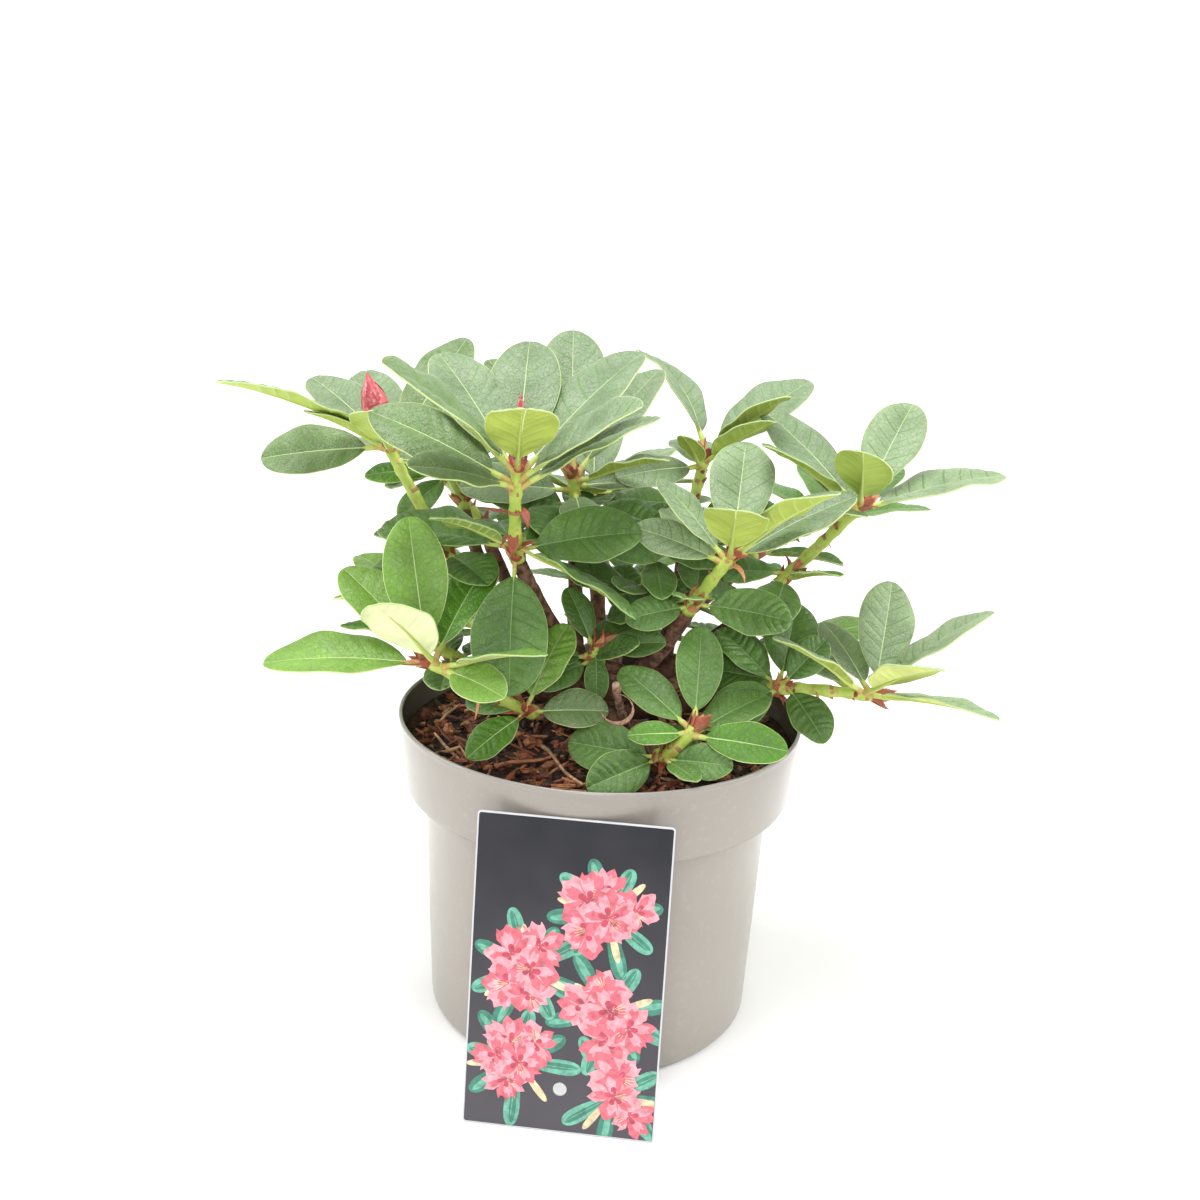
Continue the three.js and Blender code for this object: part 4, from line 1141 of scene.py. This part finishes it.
def scale_shape(length, width, curl, cup):
    """A pointed bud scale along X from its root, hollow towards Z and curling by `curl` radians."""
    rows, columns = 6, 5
    points = []
    for i in range(rows):
        share = i / (rows - 1)
        wide = width / 2 * (1 - share ** 2.6) * (0.7 + 1.2 * share * (1 - share))
        angle = curl * share
        x = length * (math.sin(angle) / curl if abs(curl) > 0.01 else share)
        z = length * ((1 - math.cos(angle)) / curl if abs(curl) > 0.01 else 0)
        for j in range(columns):
            side = 2 * j / (columns - 1) - 1
            points.append((x, side * wide, z + cup * wide * side * side))
    faces = [
        [i * columns + j, (i + 1) * columns + j, (i + 1) * columns + j + 1, i * columns + j + 1]
        for i in range(rows - 1) for j in range(columns - 1)
    ]
    return np.array(points), faces


def turned(points, along, towards, root):
    """Points laid with X along `along`, Z as near `towards` as can be, from `root`."""
    x = unit(along)
    z = unit(towards - x * towards.dot(x))
    return root + points @ np.array((x, np.cross(z, x), z))


def ring_direction(axis, angle):
    """A direction square to `axis`, at `angle` round it."""
    side = unit(np.cross(axis, (0.3, 0.9, 0.1)))
    return math.cos(angle) * side + math.sin(angle) * np.cross(axis, side)


scales = Heap()
for name, (shoot, joints, luck) in shoots.items():
    crown_tones = (SCALE_RED, SCALE_BROWN, SCALE_RED, SCALE_TAN)
    for k in range(CROWN_SCALES):
        outward = ring_direction(shoot.heading(1), k * 2.4)
        tilt = luck.uniform(0.1, 0.6)
        length, width, curl = luck.uniform(6.5, 10.5), luck.uniform(3.6, 5), luck.uniform(-0.6, 0.4)
        points, faces = scale_shape(length, width, curl, 0.45)
        points = points * (0.5 if name in FLOWER_BUDS else 1)
        root = shoot.point(1) + outward * 1.5 - shoot.heading(1) * luck.uniform(0.5, 5)
        along = shoot.heading(1) + outward * tilt
        scales.add(turned(points, along, -outward, root), faces, crown_tones[k % 4])
    for k in range(SHOOT_SCALES):
        at_foot = k < FOOT_SCALES
        share = luck.uniform(0.0, 0.16) if at_foot else luck.choice(joints)
        way = shoot.heading(share)
        outward = ring_direction(way, luck.uniform(0, math.tau))
        length, width, curl = luck.uniform(6, 9), luck.uniform(3.6, 5), luck.uniform(-1.6, 1.2)
        points, faces = scale_shape(length, width, curl, 0.6)
        if not at_foot:
            points = points * luck.uniform(0.25, 0.6)
        radius = BOUGHS[name][4] + share * (STEM_TIP_RADIUS - BOUGHS[name][4])
        root = shoot.point(share) + outward * radius * 0.82
        along = outward * luck.uniform(0.15, 0.8) + way * luck.uniform(0.5, 1.4)
        tone = luck.choice((SCALE_RED, SCALE_RED, SCALE_BROWN, SCALE_TAN))
        scales.add(turned(points, along, way, root), faces, tone)
for name, share, heading, rise, length, width, curl, tone in BRACTS:
    shoot = shoots[name][0]
    outward = direction(heading, 0)
    points, faces = scale_shape(length, width, curl, 0.4)
    upper, root = shoot.heading(share) + outward * 0.3, shoot.point(share) + outward * 2
    scales.add(turned(points, direction(heading, rise), upper, root), faces, tone)
scales.piece("bud_scales", "leaves", finish_each(scale_brown, *SCALE_COLOURS), SCALE_THICKNESS)

# ------------------------------------------------------------------ flower buds
# Two crowns hold next spring's flower buds, a fat one and a slim one: overlapping pink scales that close to
# a point round a solid core, upright on the shoot's tip.

# the core: share of the bud's radius and share of its length, above a round root inside the shoot
BUD_CORE = ((0.98, 0.12), (1, 0.35), (0.88, 0.52), (0.5, 0.78), (0.04, 0.99))
BUD_RINGS = ((0.06, 0.9, 5), (0.2, 1.0, 6), (0.36, 1.0, 6), (0.53, 0.86, 5))  # height, reach and how many


def bud_pink(wire, colour):
    streak = wire.noise(1.6, 3)
    return {
        "Base Color": streak.steps((0.5, 0), (0.78, 1)).between(colour, [0.35 + 0.6 * c for c in colour]),
        "Roughness": 0.42,
        "Normal": wire.bump(streak * 0.12),
    }


buds = Heap()
for name, (radius, length) in FLOWER_BUDS.items():
    tip = np.array(SHOOTS[name][0], float)
    axis = unit(shoots[name][0].heading(1) + (0, 0, 1))
    core = [(0.8 * STEM_TIP_RADIUS, -2)]
    core += [(share * radius * 0.94, height * length) for share, height in BUD_CORE]
    radii, heights = np.array(core).T
    points, faces = tube(tip + np.outer(heights, axis), radii, 18)
    buds.add(points, faces, 1)
    for ring, (height, reach, count) in enumerate(BUD_RINGS):
        for k in range(count):
            outward = ring_direction(axis, (k + 0.5 * ring) * math.tau / count)
            points, faces = scale_shape(length * 0.46, radius * 1.25, 3.1 * radius / length, 0.42)
            root = tip + axis * height * length + outward * radius * reach
            buds.add(turned(points, axis - outward * 0.12, -outward, root), faces, (k + ring) % 2)
bud_looks = ("bud pink", (0.56, 0.08, 0.10)), ("bud red", (0.42, 0.05, 0.06))
buds.piece("flower_buds", "leaves", finish_each(bud_pink, *bud_looks))

# ------------------------------------------------------------------ floor, light and camera
# A pale seamless floor sweeps up far behind. Soft round lights stand overhead, at both sides and in front,
# and a broad one lights the sweep.

FLOOR_REACH, SWEEP_RADIUS, SWEEP_STEPS, BACKDROP_HEIGHT = 3.0, 1.2, 12, 3
PLANT_MIDDLE, BACKDROP = (0, 0, 0.15), (0, 4.4, 1.4)
# every light: its place and size in metres, its power in watts, and what it points at
LIGHTS = {
    "overhead light": ((-0.15, -0.1, 1.7), 1.0, 27, PLANT_MIDDLE),
    "left light": ((-1.4, 0.1, 0.8), 0.8, 16, PLANT_MIDDLE),
    "right light": ((1.4, 0.1, 0.8), 0.8, 18, PLANT_MIDDLE),
    "front light": ((-0.1, -2.0, 1.0), 0.9, 18, PLANT_MIDDLE),
    "backdrop light": ((0, 1.4, 2.4), 2.4, 120, BACKDROP),
}
CAMERA_PLACE = (-2.3, -556.0, 351.4)
CAMERA_PITCH, CAMERA_ROLL, CAMERA_LENS = 73.05, 2.65, 42


def pale_floor(wire):
    return {
        "Base Color": wire.noise(400, 1).between((0.86, 0.86, 0.86), (0.88, 0.88, 0.88)),
        "Roughness": 0.9,
    }


floor = start_piece(bpy.ops.mesh.primitive_plane_add, size=2 * FLOOR_REACH, location=(0, 0, 0))
bpy.ops.mesh.select_all(action="DESELECT")
bpy.ops.object.mode_set(mode="OBJECT")
for vertex in floor.data.vertices:
    vertex.select = vertex.co.y > 0
for edge in floor.data.edges:
    edge.select = all(floor.data.vertices[v].select for v in edge.vertices)
bpy.ops.object.mode_set(mode="EDIT")
turn = math.radians(90 / SWEEP_STEPS)
for k in range(SWEEP_STEPS):
    angle = turn * (k + 0.5)
    step = (0, SWEEP_RADIUS * turn * math.cos(angle), SWEEP_RADIUS * turn * math.sin(angle))
    bpy.ops.mesh.extrude_region_move(TRANSFORM_OT_translate={"value": step})
bpy.ops.mesh.extrude_region_move(TRANSFORM_OT_translate={"value": (0, 0, BACKDROP_HEIGHT)})
bpy.ops.object.mode_set(mode="OBJECT")
floor.name = "floor"
floor.data.materials.append(finish("pale floor", pale_floor))
bpy.ops.object.shade_smooth()

world = bpy.data.worlds.new("soft white surroundings")
bpy.context.scene.world = world
world.use_nodes = True
world.node_tree.nodes["Background"].inputs["Color"].default_value = (1, 1, 1, 1)
world.node_tree.nodes["Background"].inputs["Strength"].default_value = 0.5

for name, (place, size, power, target) in LIGHTS.items():
    light = bpy.data.objects.new(name, bpy.data.lights.new(name, "AREA"))
    light.data.shape = "DISK"
    light.data.size = size
    light.data.energy = power
    light.location = place
    light.rotation_euler = (Vector(target) - Vector(place)).to_track_quat("-Z", "Y").to_euler()
    bpy.context.collection.objects.link(light)

camera = bpy.data.objects.new("camera", bpy.data.cameras.new("camera"))
camera.data.lens = CAMERA_LENS
camera.data.sensor_width = 36
camera.data.sensor_fit = "HORIZONTAL"
camera.data.clip_end = 50
turn = Matrix.Rotation(math.radians(CAMERA_PITCH), 4, "X")
turn = turn @ Matrix.Rotation(math.radians(CAMERA_ROLL), 4, "Z")
camera.matrix_world = Matrix.Translation(Vector(CAMERA_PLACE) * MM) @ turn
bpy.context.collection.objects.link(camera)
bpy.context.scene.camera = camera
bpy.context.scene.view_settings.view_transform = "Standard"

bpy.context.view_layer.update()
